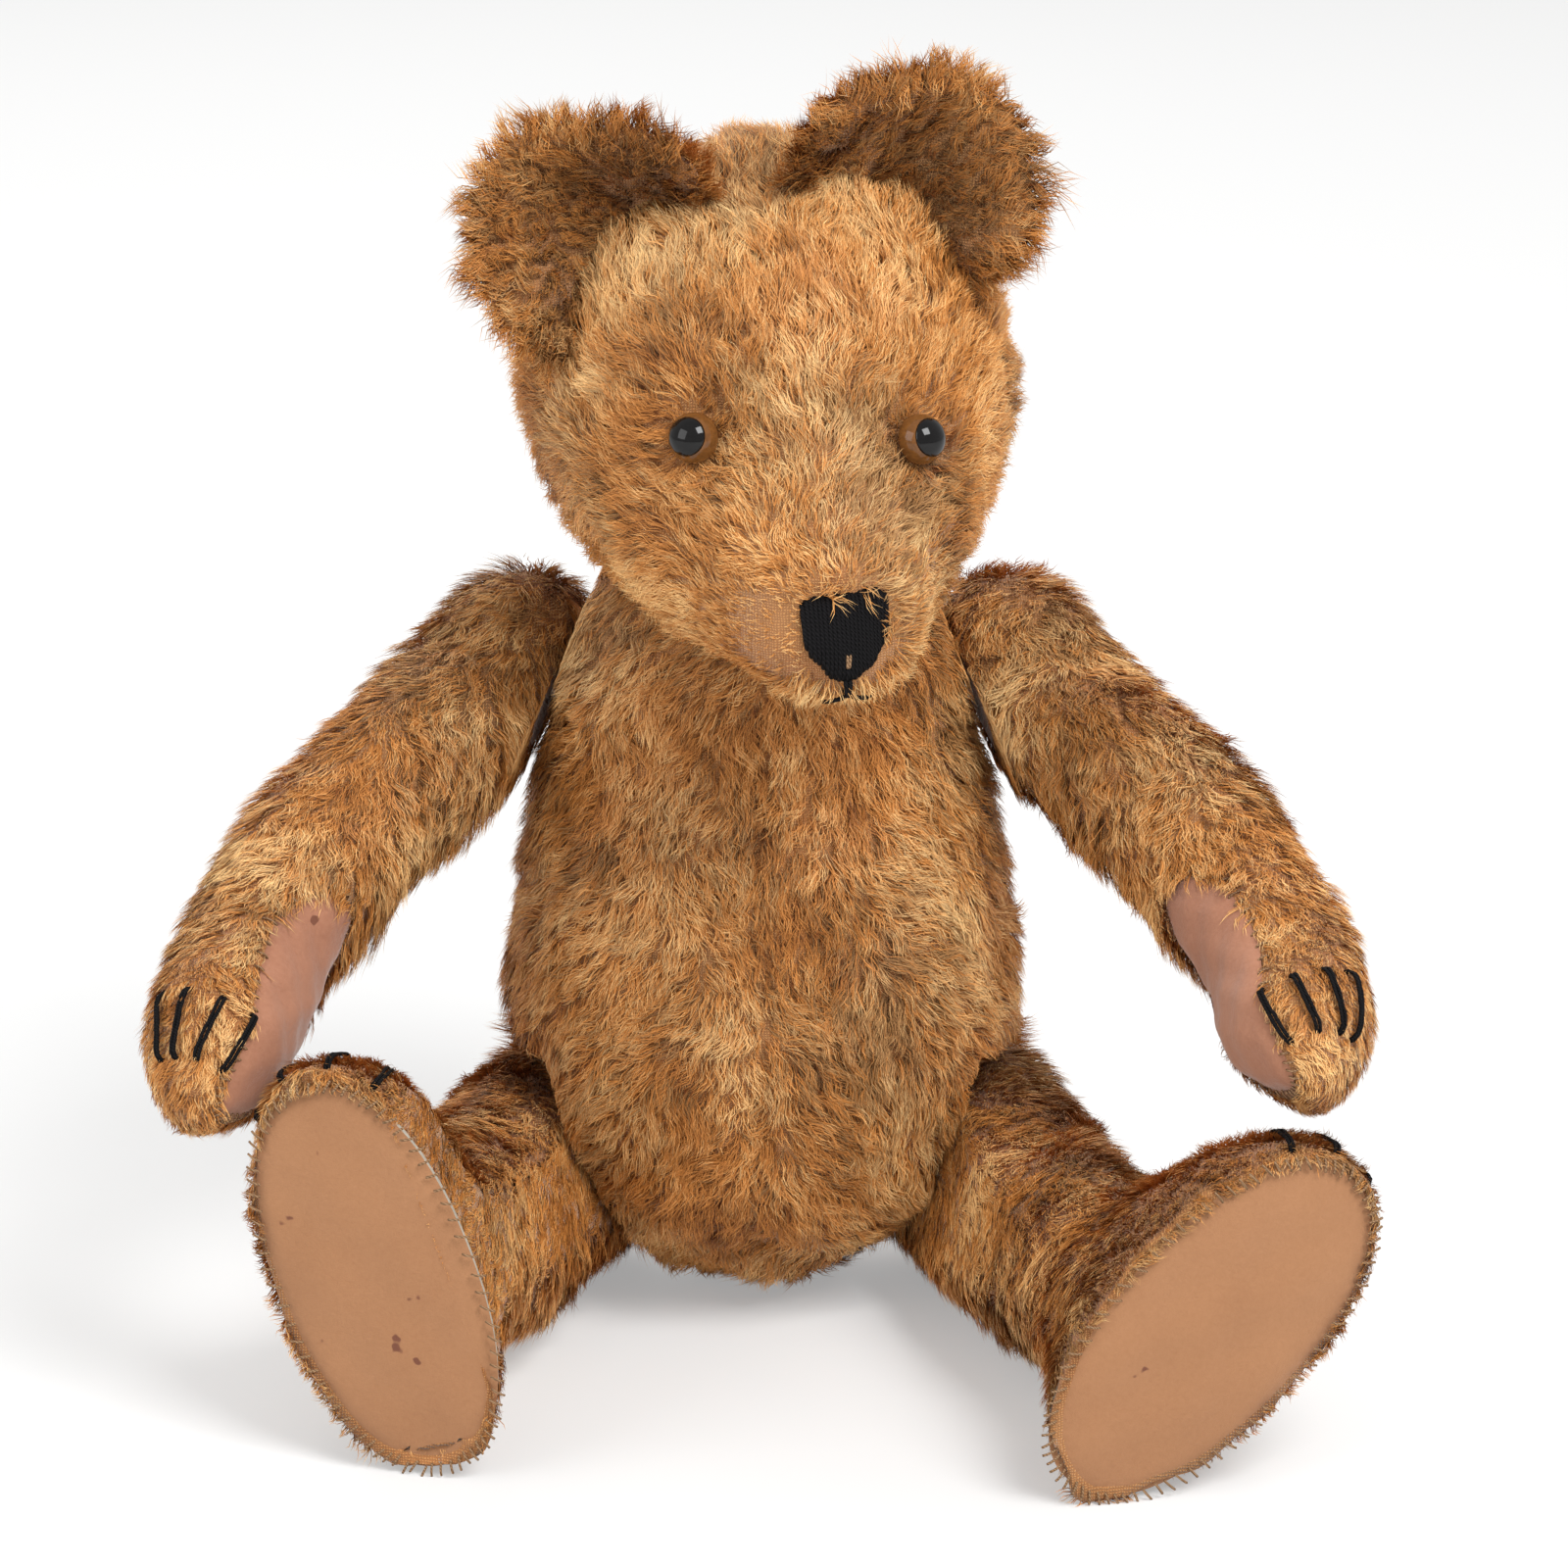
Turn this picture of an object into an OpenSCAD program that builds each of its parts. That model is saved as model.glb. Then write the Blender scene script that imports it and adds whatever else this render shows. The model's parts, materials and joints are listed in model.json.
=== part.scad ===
// Jointed teddy bear, sitting: mohair covers over wood-wool stuffing, five disc joints with
// cotter pins, glass eyes, felt pads and an embroidered nose, mouth and claws.
// Millimetres. +Z up, the bear looks along -Y and its own left is +X. The origin is on the
// seat, under the middle of the torso.

/* [Torso] */
// Height of the neck joint above the seat
torso_h = 181; // [174:1:186]
// Width of the torso at the belly
torso_w = 122; // [116:1:130]
// Depth of the torso at the belly
torso_d = 104; // [98:1:114]
// Width of the torso at the chest
chest_w = 107; // [102:1:112]
// Depth of the torso at the chest
chest_d = 88; // [82:1:94]
// Thickness of a cover, which is the cloth with its laid pile
cover_t = 5; // [4:0.5:6]

/* [Head] */
// Width of the skull
head_w = 112; // [106:1:118]
// Height of the skull
head_h = 112; // [106:1:118]
// Length of the head from the back of the skull to the muzzle tip
head_len = 146; // [138:1:154]
// Width of the muzzle behind the nose
muzzle_w = 52; // [46:1:58]
// Height of the muzzle behind the nose
muzzle_h = 46; // [42:1:52]
// Height of the middle of the skull above the neck joint
head_rise = 46; // [44:1:48]
// Downward tilt of the muzzle in the sitting pose
head_nod = 20; // [15:1:22]
// Turn of the head on its joint in the sitting pose, towards the bear's left
head_turn = 9; // [0:1:30]
// Sideways lean of the head, towards the bear's right
head_roll = 2; // [0:1:6]
// Forward lean of the neck joint's axis
neck_lean = 8; // [6:1:11]
// Width of an ear along its seam
ear_w = 44; // [42:1:50]
// Height of an ear above its seam
ear_h = 38; // [36:1:46]
// Thickness of an ear
ear_t = 12; // [9:1:14]
// Lean of the left ear outwards from the top of the head
left_ear_lean = 33; // [33:1:43]
// Lean of the right ear outwards from the top of the head
right_ear_lean = 43; // [35:1:43]
// Diameter of a glass eye
eye_d = 11; // [9:0.5:13]
// Spacing of the eyes from centre to centre
eye_gap = 50; // [44:1:54]
// Width of the embroidered nose
nose_w = 19; // [15:0.5:23]
// Height of the embroidered nose
nose_h = 20; // [16:0.5:24]
// Thickness of the embroidery
stitch_t = 1.2; // [0.8:0.1:1.4]

/* [Arms] */
// Length of an arm from the shoulder joint to the paw tip
arm_len = 143; // [138:1:144]
// Width of the arm below the shoulder
arm_w = 46; // [42:1:50]
// Width of the arm at the wrist
wrist_w = 38; // [34:1:41]
// Drop of the left arm below straight ahead in the sitting pose
left_arm_drop = 33; // [28:1:34]
// Drop of the right arm below straight ahead in the sitting pose
right_arm_drop = 37; // [30:1:42]
// Upward tilt of the shoulder discs
shoulder_tilt = 20; // [17:1:23]
// Backward turn of the shoulder discs
shoulder_turn = 10; // [7:1:13]
// Length of a felt paw pad
paw_pad_len = 60; // [50:1:66]
// Width of a felt paw pad
paw_pad_w = 24; // [18:1:28]

/* [Legs] */
// Length of the left leg from the hip joint to the sole
left_leg_len = 145; // [144:1:148]
// Length of the right leg from the hip joint to the sole
right_leg_len = 130; // [122:1:138]
// Width of the thigh
thigh_w = 58; // [54:1:60]
// Width of the ankle
ankle_w = 46; // [42:1:50]
// Length of the foot from heel to toe
foot_len = 94; // [88:1:98]
// Width of the foot
foot_w = 50; // [46:1:54]
// Downward tilt of the hip discs, which leans the toes outwards
hip_tilt = 20; // [17:1:23]
// Backward turn of the hip discs, which spreads the legs
hip_turn = 14; // [11:1:17]
// Further roll of the left foot outwards
left_foot_roll = 24; // [16:1:26]
// Further roll of the right foot outwards
right_foot_roll = 0; // [0:1:10]
// Bend of the left foot outwards
left_foot_out = 9; // [2:1:10]
// Bend of the right foot outwards
right_foot_out = -3; // [-5:1:5]

/* [Joints] */
// Gap between two covers that turn on each other
joint_gap = 0.6; // [0.4:0.1:1]
// Diameter of the neck discs
neck_disc_d = 34; // [28:1:35]
// Diameter of the shoulder discs
shoulder_disc_d = 25; // [22:1:26]
// Diameter of the hip discs
hip_disc_d = 34; // [28:1:36]
// Thickness of a disc
disc_t = 3; // [2:0.5:4]
// Diameter of a washer
washer_d = 16; // [13:1:18]
// Thickness of a washer
washer_t = 1; // [0.6:0.1:1.5]
// Diameter of a cotter pin
pin_d = 3.2; // [2.6:0.1:4]

/* [Felt and card] */
// Thickness of the felt pads
felt_t = 1.6; // [1:0.1:2]
// Thickness of the card in the soles
card_t = 2; // [1:0.5:3]
// Width of the sewn rim round a sole
rim_w = 3; // [2:0.5:4]
// Width of an embroidered claw
claw_w = 1.8; // [1.4:0.1:2.4]
// Length of an embroidered claw
claw_len = 15; // [11:1:18]

/* [Hidden] */
SIDES = 22;      // points round the torso and the head
RINGS = 13;      // rings along the torso and the head
LIMB_SIDES = 18; // points round an arm or a leg
LIMB_RINGS = 10; // rings along an arm or a leg
EAR_SIDES = 12;  // points round an ear
EAR_RINGS = 9;   // rings along an ear
FAR = 300;       // reach of a cutting block

seat = 0.3;        // gap between pieces that sit on each other
running = 0.05;    // clearance all round a pin in a bore
press_depth = 0.5; // depth to which the forms are cut flat on the seat
fur_colour = "#c9965b";
glass_colour = "#a4561c";
pupil_colour = "#0d0b0a";
board_colour = "#8a6a42";
card_colour = "#9a8566";
steel_colour = "#9a9c9e";
felt_colour = "#c99a80";
stuffing_colour = "#b99b66";
thread_colour = "#1c1715";

// ---- Forms: closed skins through rings of points ----

// A station is [centre x, centre y, centre z, half width, half height, roll of the ring]. The
// squares of the half sizes are smoothed, so a station of no size gives a round end.
function squared(s) = [s[0], s[1], s[2], s[3]^2, s[4]^2, s[5]];
function unit(v) = v / norm(v);
function centre(s) = [s[0], s[1], s[2]];

// Point of a smooth curve through a list, at place u between 0 and its last index
function smooth(list, u) =
    let (last = len(list) - 1,
         i = max(min(floor(u), last - 1), 0),
         f = u - i,
         a = list[max(i - 1, 0)],
         b = list[i],
         c = list[i + 1],
         d = list[min(i + 2, last)])
    b + f * (c - a) / 2 + f^2 * (a - 2.5 * b + 2 * c - d / 2)
        + f^3 * (1.5 * (b - c) + (d - a) / 2);

// One ring, square to the curve of the centres
function ring(squares, u, sides, ref) =
    let (s = smooth(squares, u),
         ahead = centre(smooth(squares, min(u + 0.05, len(squares) - 1))),
         behind = centre(smooth(squares, max(u - 0.05, 0))),
         along = unit(ahead - behind),
         side = unit(cross(along, ref)),
         up = cross(side, along),
         w = sqrt(max(s[3], 0)),
         h = sqrt(max(s[4], 0)))
    [for (j = [0:sides - 1])
        let (a = -360 * j / sides,
             x = w * cos(a),
             y = h * sin(a))
        centre(s) + (x * cos(s[5]) - y * sin(s[5])) * side
            + (x * sin(s[5]) + y * cos(s[5])) * up];

// All rings of a form, closed at both ends by a ring drawn to a point
function form(stations, rings, sides, ref) =
    let (squares = [for (s = stations) squared(s)],
         last = len(stations) - 1)
    [[for (j = [1:sides]) centre(stations[0])],
     for (k = [1:rings]) ring(squares, last * (1 - cos(180 * k / (rings + 1))) / 2, sides, ref),
     [for (j = [1:sides]) centre(stations[last])]];

function middle(points) = [for (p = points) 1] * points / len(points);

// Outward direction of a form at point j of ring i
function outward(rings, i, j) =
    let (last = len(rings) - 1,
         sides = len(rings[0]))
    (i == 0) ? unit(middle(rings[0]) - middle(rings[1])) :
    (i == last) ? unit(middle(rings[last]) - middle(rings[last - 1])) :
    unit(cross(rings[i][(j + 1) % sides] - rings[i][(j + sides - 1) % sides],
               rings[i + 1][j] - rings[i - 1][j]));

// The same form grown by t all over, or shrunk where t is below 0
function grown(rings, t) =
    (t == 0) ? rings :
    [for (i = [0:len(rings) - 1])
        [for (j = [0:len(rings[0]) - 1]) rings[i][j] + t * outward(rings, i, j)]];

// Closed solid of a form grown by t
module skin(rings, t = 0) {
    all_rings = grown(rings, t);
    count = len(all_rings) - 2;
    sides = len(all_rings[0]);
    points = [all_rings[0][0], for (i = [1:count]) each all_rings[i], all_rings[count + 1][0]];
    last = len(points) - 1;
    first_fan = [for (j = [0:sides - 1]) [0, 1 + j, 1 + (j + 1) % sides]];
    bands = [
        for (i = [0:count - 2])
            for (j = [0:sides - 1])
                let (a = 1 + i * sides + j,
                     b = 1 + i * sides + (j + 1) % sides)
                each [[a, a + sides, b + sides], [a, b + sides, b]]
    ];
    last_fan = [for (j = [0:sides - 1]) [last, last - sides + (j + 1) % sides, last - sides + j]];
    polyhedron(points = points, faces = concat(first_fan, bands, last_fan));
}

// Everything above the seat plane
module above_seat() translate([-FAR, -FAR, 0]) cube([2 * FAR, 2 * FAR, 2 * FAR]);

// ---- Disc joints, drawn along +Z from the plane on which the two covers meet ----

half_gap = joint_gap / 2;
disc_at = half_gap + cover_t + seat;      // where a disc starts on either side of the plane
washer_at = disc_at + disc_t + seat;      // where a washer starts
pocket_at = washer_at + washer_t;         // where the pin's ends start
pin_r = pin_d / 2;
bore_r = pin_r + running;
wire_d = pin_r - 0.1;                     // thickness of one curled pin leg
eye_r = pin_d * 0.9;                      // mean radius of the eye of a pin
curl_r = washer_d / 4;                    // mean radius of a curled end
pocket_r = washer_d / 2 + 2;
pocket_h = 2 * eye_r + pin_d + 2;

module disc(diameter) color(board_colour)
    translate([0, 0, disc_at]) difference() {
        cylinder(d = diameter, h = disc_t, $fn = 96);
        translate([0, 0, -1]) cylinder(r = bore_r, h = disc_t + 2, $fn = 48);
    }

module washer() color(steel_colour)
    translate([0, 0, washer_at]) difference() {
        cylinder(d = washer_d, h = washer_t, $fn = 64);
        translate([0, 0, -1]) cylinder(r = bore_r, h = washer_t + 2, $fn = 48);
    }

// Half ring of wire that turns outwards and back onto the washer, on the +X side
module curl() translate([curl_r + pin_r / 2, 0, 0]) rotate([90, 0, 0])
    rotate_extrude(angle = 180, $fn = 48) translate([curl_r, 0]) circle(d = wire_d, $fn = 24);

// Split pin: its eye lies beyond the +Z washer and its two legs curl over the -Z washer
module split_pin() color(steel_colour) {
    shaft = pocket_at + 0.2;
    translate([0, 0, -shaft]) cylinder(r = pin_r, h = 2 * shaft, $fn = 48);
    translate([0, 0, shaft + eye_r + wire_d / 5]) rotate([90, 0, 0])
        rotate_extrude($fn = 64) translate([eye_r, 0]) circle(d = wire_d, $fn = 24);
    for (side = [0, 180]) rotate([180, 0, side]) translate([0, 0, shaft]) curl();
}

// Room for a joint's hardware in the stuffing on the +Z side of the plane
module joint_room(diameter) {
    translate([0, 0, disc_at - FAR]) cylinder(d = diameter + 2 * seat, h = FAR + disc_t + seat,
        $fn = 96);
    translate([0, 0, disc_at]) cylinder(r = pocket_r, h = pocket_h + disc_t, $fn = 64);
}

// The pin's hole through a cover on the +Z side
module pin_hole() cylinder(r = bore_r, h = disc_at + 1, $fn = 48);

// All on the torso's side of a limb's plane, moved depth into the limb
module beyond_plane(depth) translate([-FAR, -FAR, half_gap + depth - 2 * FAR])
    cube([2 * FAR, 2 * FAR, 2 * FAR]);

// A child drawn on the torso's side of a joint
module torso_side() rotate([180, 0, 0]) children();

// ---- Where things are ----

neck_y = 6;                        // the neck joint lies a little behind the torso's middle
skull_forward = 8;                 // the middle of the skull lies in front of the neck joint
muzzle_tip = 92;                   // from the middle of the skull to the muzzle tip
skull_back = head_len - muzzle_tip;
shoulder_x = 0.44 * chest_w;
shoulder_y = 4;
shoulder_down = 38;                // from the shoulder joints up to the neck joint
shoulder_z = torso_h - shoulder_down;
arm_out = 20;                      // middle of the arm from its joint plane
hip_x = 31;
hip_y = 8;
leg_out = 0.34 * thigh_w;          // middle of the leg from its joint plane
thigh_reach = thigh_w / 2 + 2;     // reach of the thigh round its joint

function leg_len(side) = side > 0 ? left_leg_len : right_leg_len;
function roll(side) = side > 0 ? left_foot_roll : right_foot_roll;
function foot_out(side) = leg_out + (side > 0 ? left_foot_out : right_foot_out);

// How far an oval of half width w and half height h reaches down when it leans
function reach(w, h, lean) = norm([w * sin(lean), h * cos(lean)]);
thigh_down = reach(0.47 * thigh_w, thigh_w / 2, hip_tilt);
hip_z = thigh_down + leg_out * sin(hip_tilt) - press_depth;
function foot_lift(side) =
    (reach(foot_w / 2, foot_len / 2, hip_tilt + roll(side)) - thigh_down
     + (foot_out(side) - leg_out) * sin(hip_tilt)) / cos(hip_tilt);

module at_side(side) mirror([side < 0 ? 1 : 0, 0, 0]) children();

// Neck joint, +Z up into the head
module at_neck() translate([0, neck_y, torso_h]) rotate([neck_lean, 0, 0]) children();

// Middle of the skull, with the muzzle along -Y
module at_head() at_neck() rotate([0, 0, head_turn]) rotate([head_nod - neck_lean, -head_roll, 0])
    translate([0, -skull_forward, head_rise]) children();

// Shoulder joint: +Z outwards along its axis, +X straight ahead, +Y down
module at_shoulder(side) at_side(side) translate([shoulder_x, shoulder_y, shoulder_z])
    rotate([0, 0, shoulder_turn]) rotate([0, -shoulder_tilt, 0]) rotate([-90, 0, -90])
    children();

// The same with +X along the arm
module at_arm(side) at_shoulder(side)
    rotate([0, 0, side > 0 ? left_arm_drop : right_arm_drop]) children();

// Hip joint: +Z outwards along its axis, +X along the leg, +Y down
module at_hip(side) at_side(side) translate([hip_x, hip_y, hip_z])
    rotate([0, 0, hip_turn]) rotate([0, hip_tilt, 0]) rotate([-90, 0, -90]) children();

// Middle of the sole: +Z out of the sole, +Y towards the heel
module at_sole(side) at_hip(side) translate([leg_len(side), -foot_lift(side), foot_out(side)])
    rotate([-roll(side), 0, 0]) rotate([0, 90, 0]) children();

// ---- Torso: a pear of level rings, from the seat to above the neck joint ----

torso_stations = [
    [0, 3, -press_depth, 0, 0, 0],
    [0, 4, 0.12 * torso_h, 0.36 * torso_w, 0.40 * torso_d, 0],
    [0, 0, 0.33 * torso_h, 0.50 * torso_w, 0.50 * torso_d, 0],
    [0, 1, 0.52 * torso_h, 0.49 * torso_w, 0.48 * torso_d, 0],
    [0, 3, 0.72 * torso_h, 0.50 * chest_w, 0.50 * chest_d, 0],
    [0, 5, 0.91 * torso_h, 0.44 * chest_w, 0.44 * chest_d, 0],
    [0, neck_y, torso_h + 12, 0, 0, 0]
];
torso = form(torso_stations, RINGS, SIDES, [0, 1, 0]);

// Room that a thigh takes from the torso as it swings from sitting to standing
module thigh_room(depth) {
    r = thigh_reach + depth;
    translate([0, 0, -half_gap - depth]) {
        cylinder(r = r, h = FAR, $fn = 96);
        translate([0, -r, 0]) cube([FAR, r + FAR, FAR]);
        translate([-r, 0, 0]) cube([r + FAR, FAR, FAR]);
    }
}

// All that the head, arms and legs take from the torso, grown into it by depth
module torso_cuts(depth) {
    at_neck() translate([-FAR, -FAR, -half_gap - depth]) cube([2 * FAR, 2 * FAR, FAR]);
    for (side = [-1, 1]) {
        at_shoulder(side) translate([-FAR, -FAR, -half_gap - depth])
            cube([2 * FAR, 2 * FAR, FAR]);
        at_hip(side) thigh_room(depth);
    }
}

// A child drawn on the torso's side of every joint
module in_torso_joints() {
    at_neck() torso_side() children();
    for (side = [-1, 1]) {
        at_shoulder(side) torso_side() children();
        at_hip(side) torso_side() children();
    }
}

module torso_cover() color(fur_colour) difference() {
    intersection() {
        skin(torso);
        above_seat();
    }
    difference() {
        skin(torso, -cover_t);
        torso_cuts(cover_t);
    }
    torso_cuts(0);
    in_torso_joints() pin_hole();
}

module torso_stuffing() color(stuffing_colour) difference() {
    skin(torso, -cover_t - seat);
    torso_cuts(cover_t + seat);
    at_neck() torso_side() joint_room(neck_disc_d);
    for (side = [-1, 1]) {
        at_shoulder(side) torso_side() joint_room(shoulder_disc_d);
        at_hip(side) torso_side() joint_room(hip_disc_d);
    }
}

// ---- Head: rings from the back of the skull to the muzzle tip ----

head_stations = [
    [0, skull_back, 6, 0, 0, 0],
    [0, 0.66 * skull_back, 4, 0.38 * head_w, 0.39 * head_h, 0],
    [0, 0.20 * skull_back, 1, 0.50 * head_w, 0.50 * head_h, 0],
    [0, -0.35 * skull_back, -2, 0.48 * head_w, 0.47 * head_h, 0],
    [0, -0.85 * skull_back, -8, 0.38 * head_w, 0.37 * head_h, 0],
    [0, -0.76 * muzzle_tip, -11, 0.52 * muzzle_w, 0.52 * muzzle_h, 0],
    [0, -0.93 * muzzle_tip, -11, 0.36 * muzzle_w, 0.36 * muzzle_h, 0],
    [0, -muzzle_tip, -10, 0, 0, 0]
];
head = form(head_stations, RINGS, SIDES, [0, 0, 1]);

// Place and outward direction on a form's surface, at place u along it and angle a round it
function spot(stations, u, a, ref) =
    let (squares = [for (s = stations) squared(s)],
         here = ring_point(squares, u, a, ref),
         round_it = ring_point(squares, u, a + 1, ref) - here,
         along_it = ring_point(squares, u + 0.02, a, ref) - here)
    [here, unit(cross(along_it, round_it))];
function ring_point(squares, u, a, ref) =
    let (s = smooth(squares, u),
         along = unit(centre(smooth(squares, u + 0.05)) - centre(smooth(squares, u - 0.05))),
         side = unit(cross(along, ref)),
         up = cross(side, along))
    centre(s) + sqrt(s[3]) * cos(a) * side + sqrt(s[4]) * sin(a) * up;

// Draws a child on that place with +Z outwards
module on_spot(place) translate(place[0])
    rotate([0, acos(place[1][2]), atan2(place[1][1], place[1][0])]) children();

eye_u = 4.2;       // middle place of the eyes along the head's stations
eye_skew = 0.08;   // how much further forward the left eye is sewn, and the right further back
eye_r2 = eye_d / 2;
eye_sink = 0.15 * eye_d;
pupil_r = 0.33 * eye_d;
pupil_z = 0.25 * eye_d;
shank_len = 12;    // from the eye to the end of its loop
shank_r = 0.6;
loop_r = 1.4;      // mean radius of the loop at the end of the shank
loop_wire_r = 0.5;
shank_room = 2.4;  // radius of the room for the shank and its loop
function eye_spot(side) =
    let (u = eye_u + side * eye_skew,
         half_w = sqrt(smooth([for (s = head_stations) squared(s)], u)[3]))
    spot(head_stations, u, 90 + side * (90 - acos(eye_gap / 2 / half_w)), [0, 0, 1]);

module at_eye(side) at_head() on_spot(eye_spot(side)) translate([0, 0, -eye_sink]) children();

module eye_room(clear) {
    sphere(r = eye_r2 + clear, $fn = 48);
    translate([0, 0, -eye_r2 - shank_len]) cylinder(r = shank_room, h = shank_len, $fn = 32);
}

module eye(side) color(glass_colour) at_eye(side) {
    difference() {
        sphere(r = eye_r2, $fn = 48);
        translate([0, 0, pupil_z]) cylinder(r = pupil_r + 0.1, h = eye_d, $fn = 48);
    }
    translate([0, 0, -eye_r2 - shank_len / 2]) cylinder(r = shank_r, h = shank_len / 2 + 1,
        $fn = 24);
    translate([0, 0, -eye_r2 - shank_len / 2 - loop_r]) rotate([90, 0, 0])
        rotate_extrude($fn = 32) translate([loop_r, 0]) circle(r = loop_wire_r, $fn = 16);
}

module pupil(side) color(pupil_colour) at_eye(side) intersection() {
    sphere(r = eye_r2, $fn = 48);
    translate([0, 0, pupil_z + 0.1]) cylinder(r = pupil_r, h = eye_d, $fn = 48);
}

module head_cover() color(fur_colour) difference() {
    at_head() skin(head);
    difference() {
        at_head() skin(head, -cover_t);
        at_neck() beyond_plane(cover_t);
    }
    at_neck() {
        beyond_plane(0);
        pin_hole();
    }
    for (side = [-1, 1]) at_eye(side) eye_room(0.15);
}

module head_stuffing() color(stuffing_colour) difference() {
    at_head() skin(head, -cover_t - seat);
    at_neck() {
        beyond_plane(cover_t + seat);
        joint_room(neck_disc_d);
    }
    for (side = [-1, 1]) at_eye(side) eye_room(1.5);
}

ear_root = 49;   // distance of an ear's seam from the middle of the skull
ear_back = 2;    // distance of an ear behind the middle of the skull
ear_cup = 13;    // depth of the hollow of an ear
ear_foot = 12;   // depth of an ear's root below its seam
ear_turn = -12;  // turn of an ear's hollow, forwards and outwards

// One ear ring: place across the ear from -0.5 to 0.5, height as a share of the ear's
function ear_ring(across, height) =
    [across * ear_w, -4 * ear_cup * across^2, (height * ear_h - ear_foot) / 2,
     height > 0 ? ear_t / 2 : 0, height > 0 ? (height * ear_h + ear_foot) / 2 : 0, 0];
ear_form = form([
    ear_ring(-0.50, 0), ear_ring(-0.34, 0.72), ear_ring(0, 1), ear_ring(0.34, 0.72),
    ear_ring(0.50, 0)
], EAR_RINGS, EAR_SIDES, [0, 0, 1]);

module ear(side) color(fur_colour) difference() {
    at_head() at_side(side) rotate([0, side > 0 ? left_ear_lean : right_ear_lean, 0])
        translate([0, ear_back, ear_root])
        rotate([0, 0, ear_turn]) skin(ear_form);
    at_head() skin(head, seat);
}

// ---- Arms ----

paw_round = 18;     // length of the rounding of a paw's tip
arm_stations = [
    [-0.203 * arm_len, -2, 0.35 * arm_out, 0, 0, 0],
    [-0.084 * arm_len, 0, 0.55 * arm_out, 0.44 * arm_w, 0.46 * arm_w, 0],
    [0.14 * arm_len, 2, 0.95 * arm_out, 0.49 * arm_w, 0.51 * arm_w, 0],
    [0.42 * arm_len, 3, 1.55 * arm_out, 0.48 * arm_w, 0.49 * arm_w, 0],
    [0.70 * arm_len, 1, 1.75 * arm_out, 0.52 * wrist_w, 0.53 * wrist_w, 0],
    [arm_len - paw_round, -3, 1.60 * arm_out, 0.46 * wrist_w, 0.54 * wrist_w, 0],
    [arm_len, -7, 1.45 * arm_out, 0, 0, 0]
];
arm = form(arm_stations, LIMB_RINGS, LIMB_SIDES, [0, 1, 0]);

module arm_cover(side) color(fur_colour) difference() {
    at_arm(side) skin(arm);
    difference() {
        at_arm(side) skin(arm, -cover_t);
        at_shoulder(side) beyond_plane(cover_t);
    }
    at_shoulder(side) {
        beyond_plane(0);
        pin_hole();
    }
    difference() {
        at_palm(side) paw_outline(seat);
        at_arm(side) skin(arm, -pad_depth - felt_t - seat);
    }
}

module arm_stuffing(side) color(stuffing_colour) difference() {
    at_arm(side) skin(arm, -cover_t - seat);
    at_shoulder(side) {
        beyond_plane(cover_t + seat);
        joint_room(shoulder_disc_d);
    }
}

pad_depth = 1.4;    // depth of the paw pads below the laid pile round them
palm_turn = 28;     // turn of the palm from facing the torso towards facing upwards
pad_to_tip = 5;     // from a paw pad to the paw's tip
paw_up = 2;         // rise of the middle of the paw above the arm's axis
paw_middle = 1.66 * arm_out;

// Palm of a paw: +Z out of it and +X towards the tip
module at_palm(side) at_arm(side)
    translate([arm_len - paw_pad_len / 2 - pad_to_tip, -paw_up, paw_middle])
    rotate([180 - palm_turn, 0, 0]) children();

// Prism over a paw pad's oval, grown by clear
module paw_outline(clear) linear_extrude(height = wrist_w)
    polygon(oval(paw_pad_len / 2 + clear, paw_pad_w / 2 + clear));

// Points of an oval with half sizes a and b, a little fuller than an ellipse
function oval(a, b) = [for (t = [0:10:350])
    [a * sign(cos(t)) * abs(cos(t))^0.9, b * sign(sin(t)) * abs(sin(t))^0.9]];

module paw_pad(side) color(felt_colour) difference() {
    intersection() {
        at_palm(side) paw_outline(0);
        at_arm(side) skin(arm, -pad_depth);
    }
    at_arm(side) skin(arm, -pad_depth - felt_t);
}

// Layer of embroidery on a form: from seat above it to stitch_t above it
module stitch_layer(rings) difference() {
    skin(rings, stitch_t);
    skin(rings, seat);
}

claws = 4;          // claws on each paw and foot
claw_spread = 24;   // angle from one claw to the next
claw_middle = (claws - 1) / 2;
paw_claw_turn = 14; // turn of the row of claws on a paw, away from its pad
claw_to_tip = 9;    // from the claws to a paw's tip
claw_to_sole = 3;   // from the claws to the plane of a sole
module paw_claws(side) color(thread_colour) intersection() {
    at_arm(side) stitch_layer(arm);
    at_arm(side) translate([arm_len - claw_to_tip - claw_len, -paw_up, paw_middle])
        for (i = [0:claws - 1])
            rotate([90 + claw_spread * (i - claw_middle) - paw_claw_turn, 0, 0])
                translate([0, -claw_w / 2, 0]) cube([claw_len, claw_w, wrist_w]);
}

// ---- Legs ----

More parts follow.
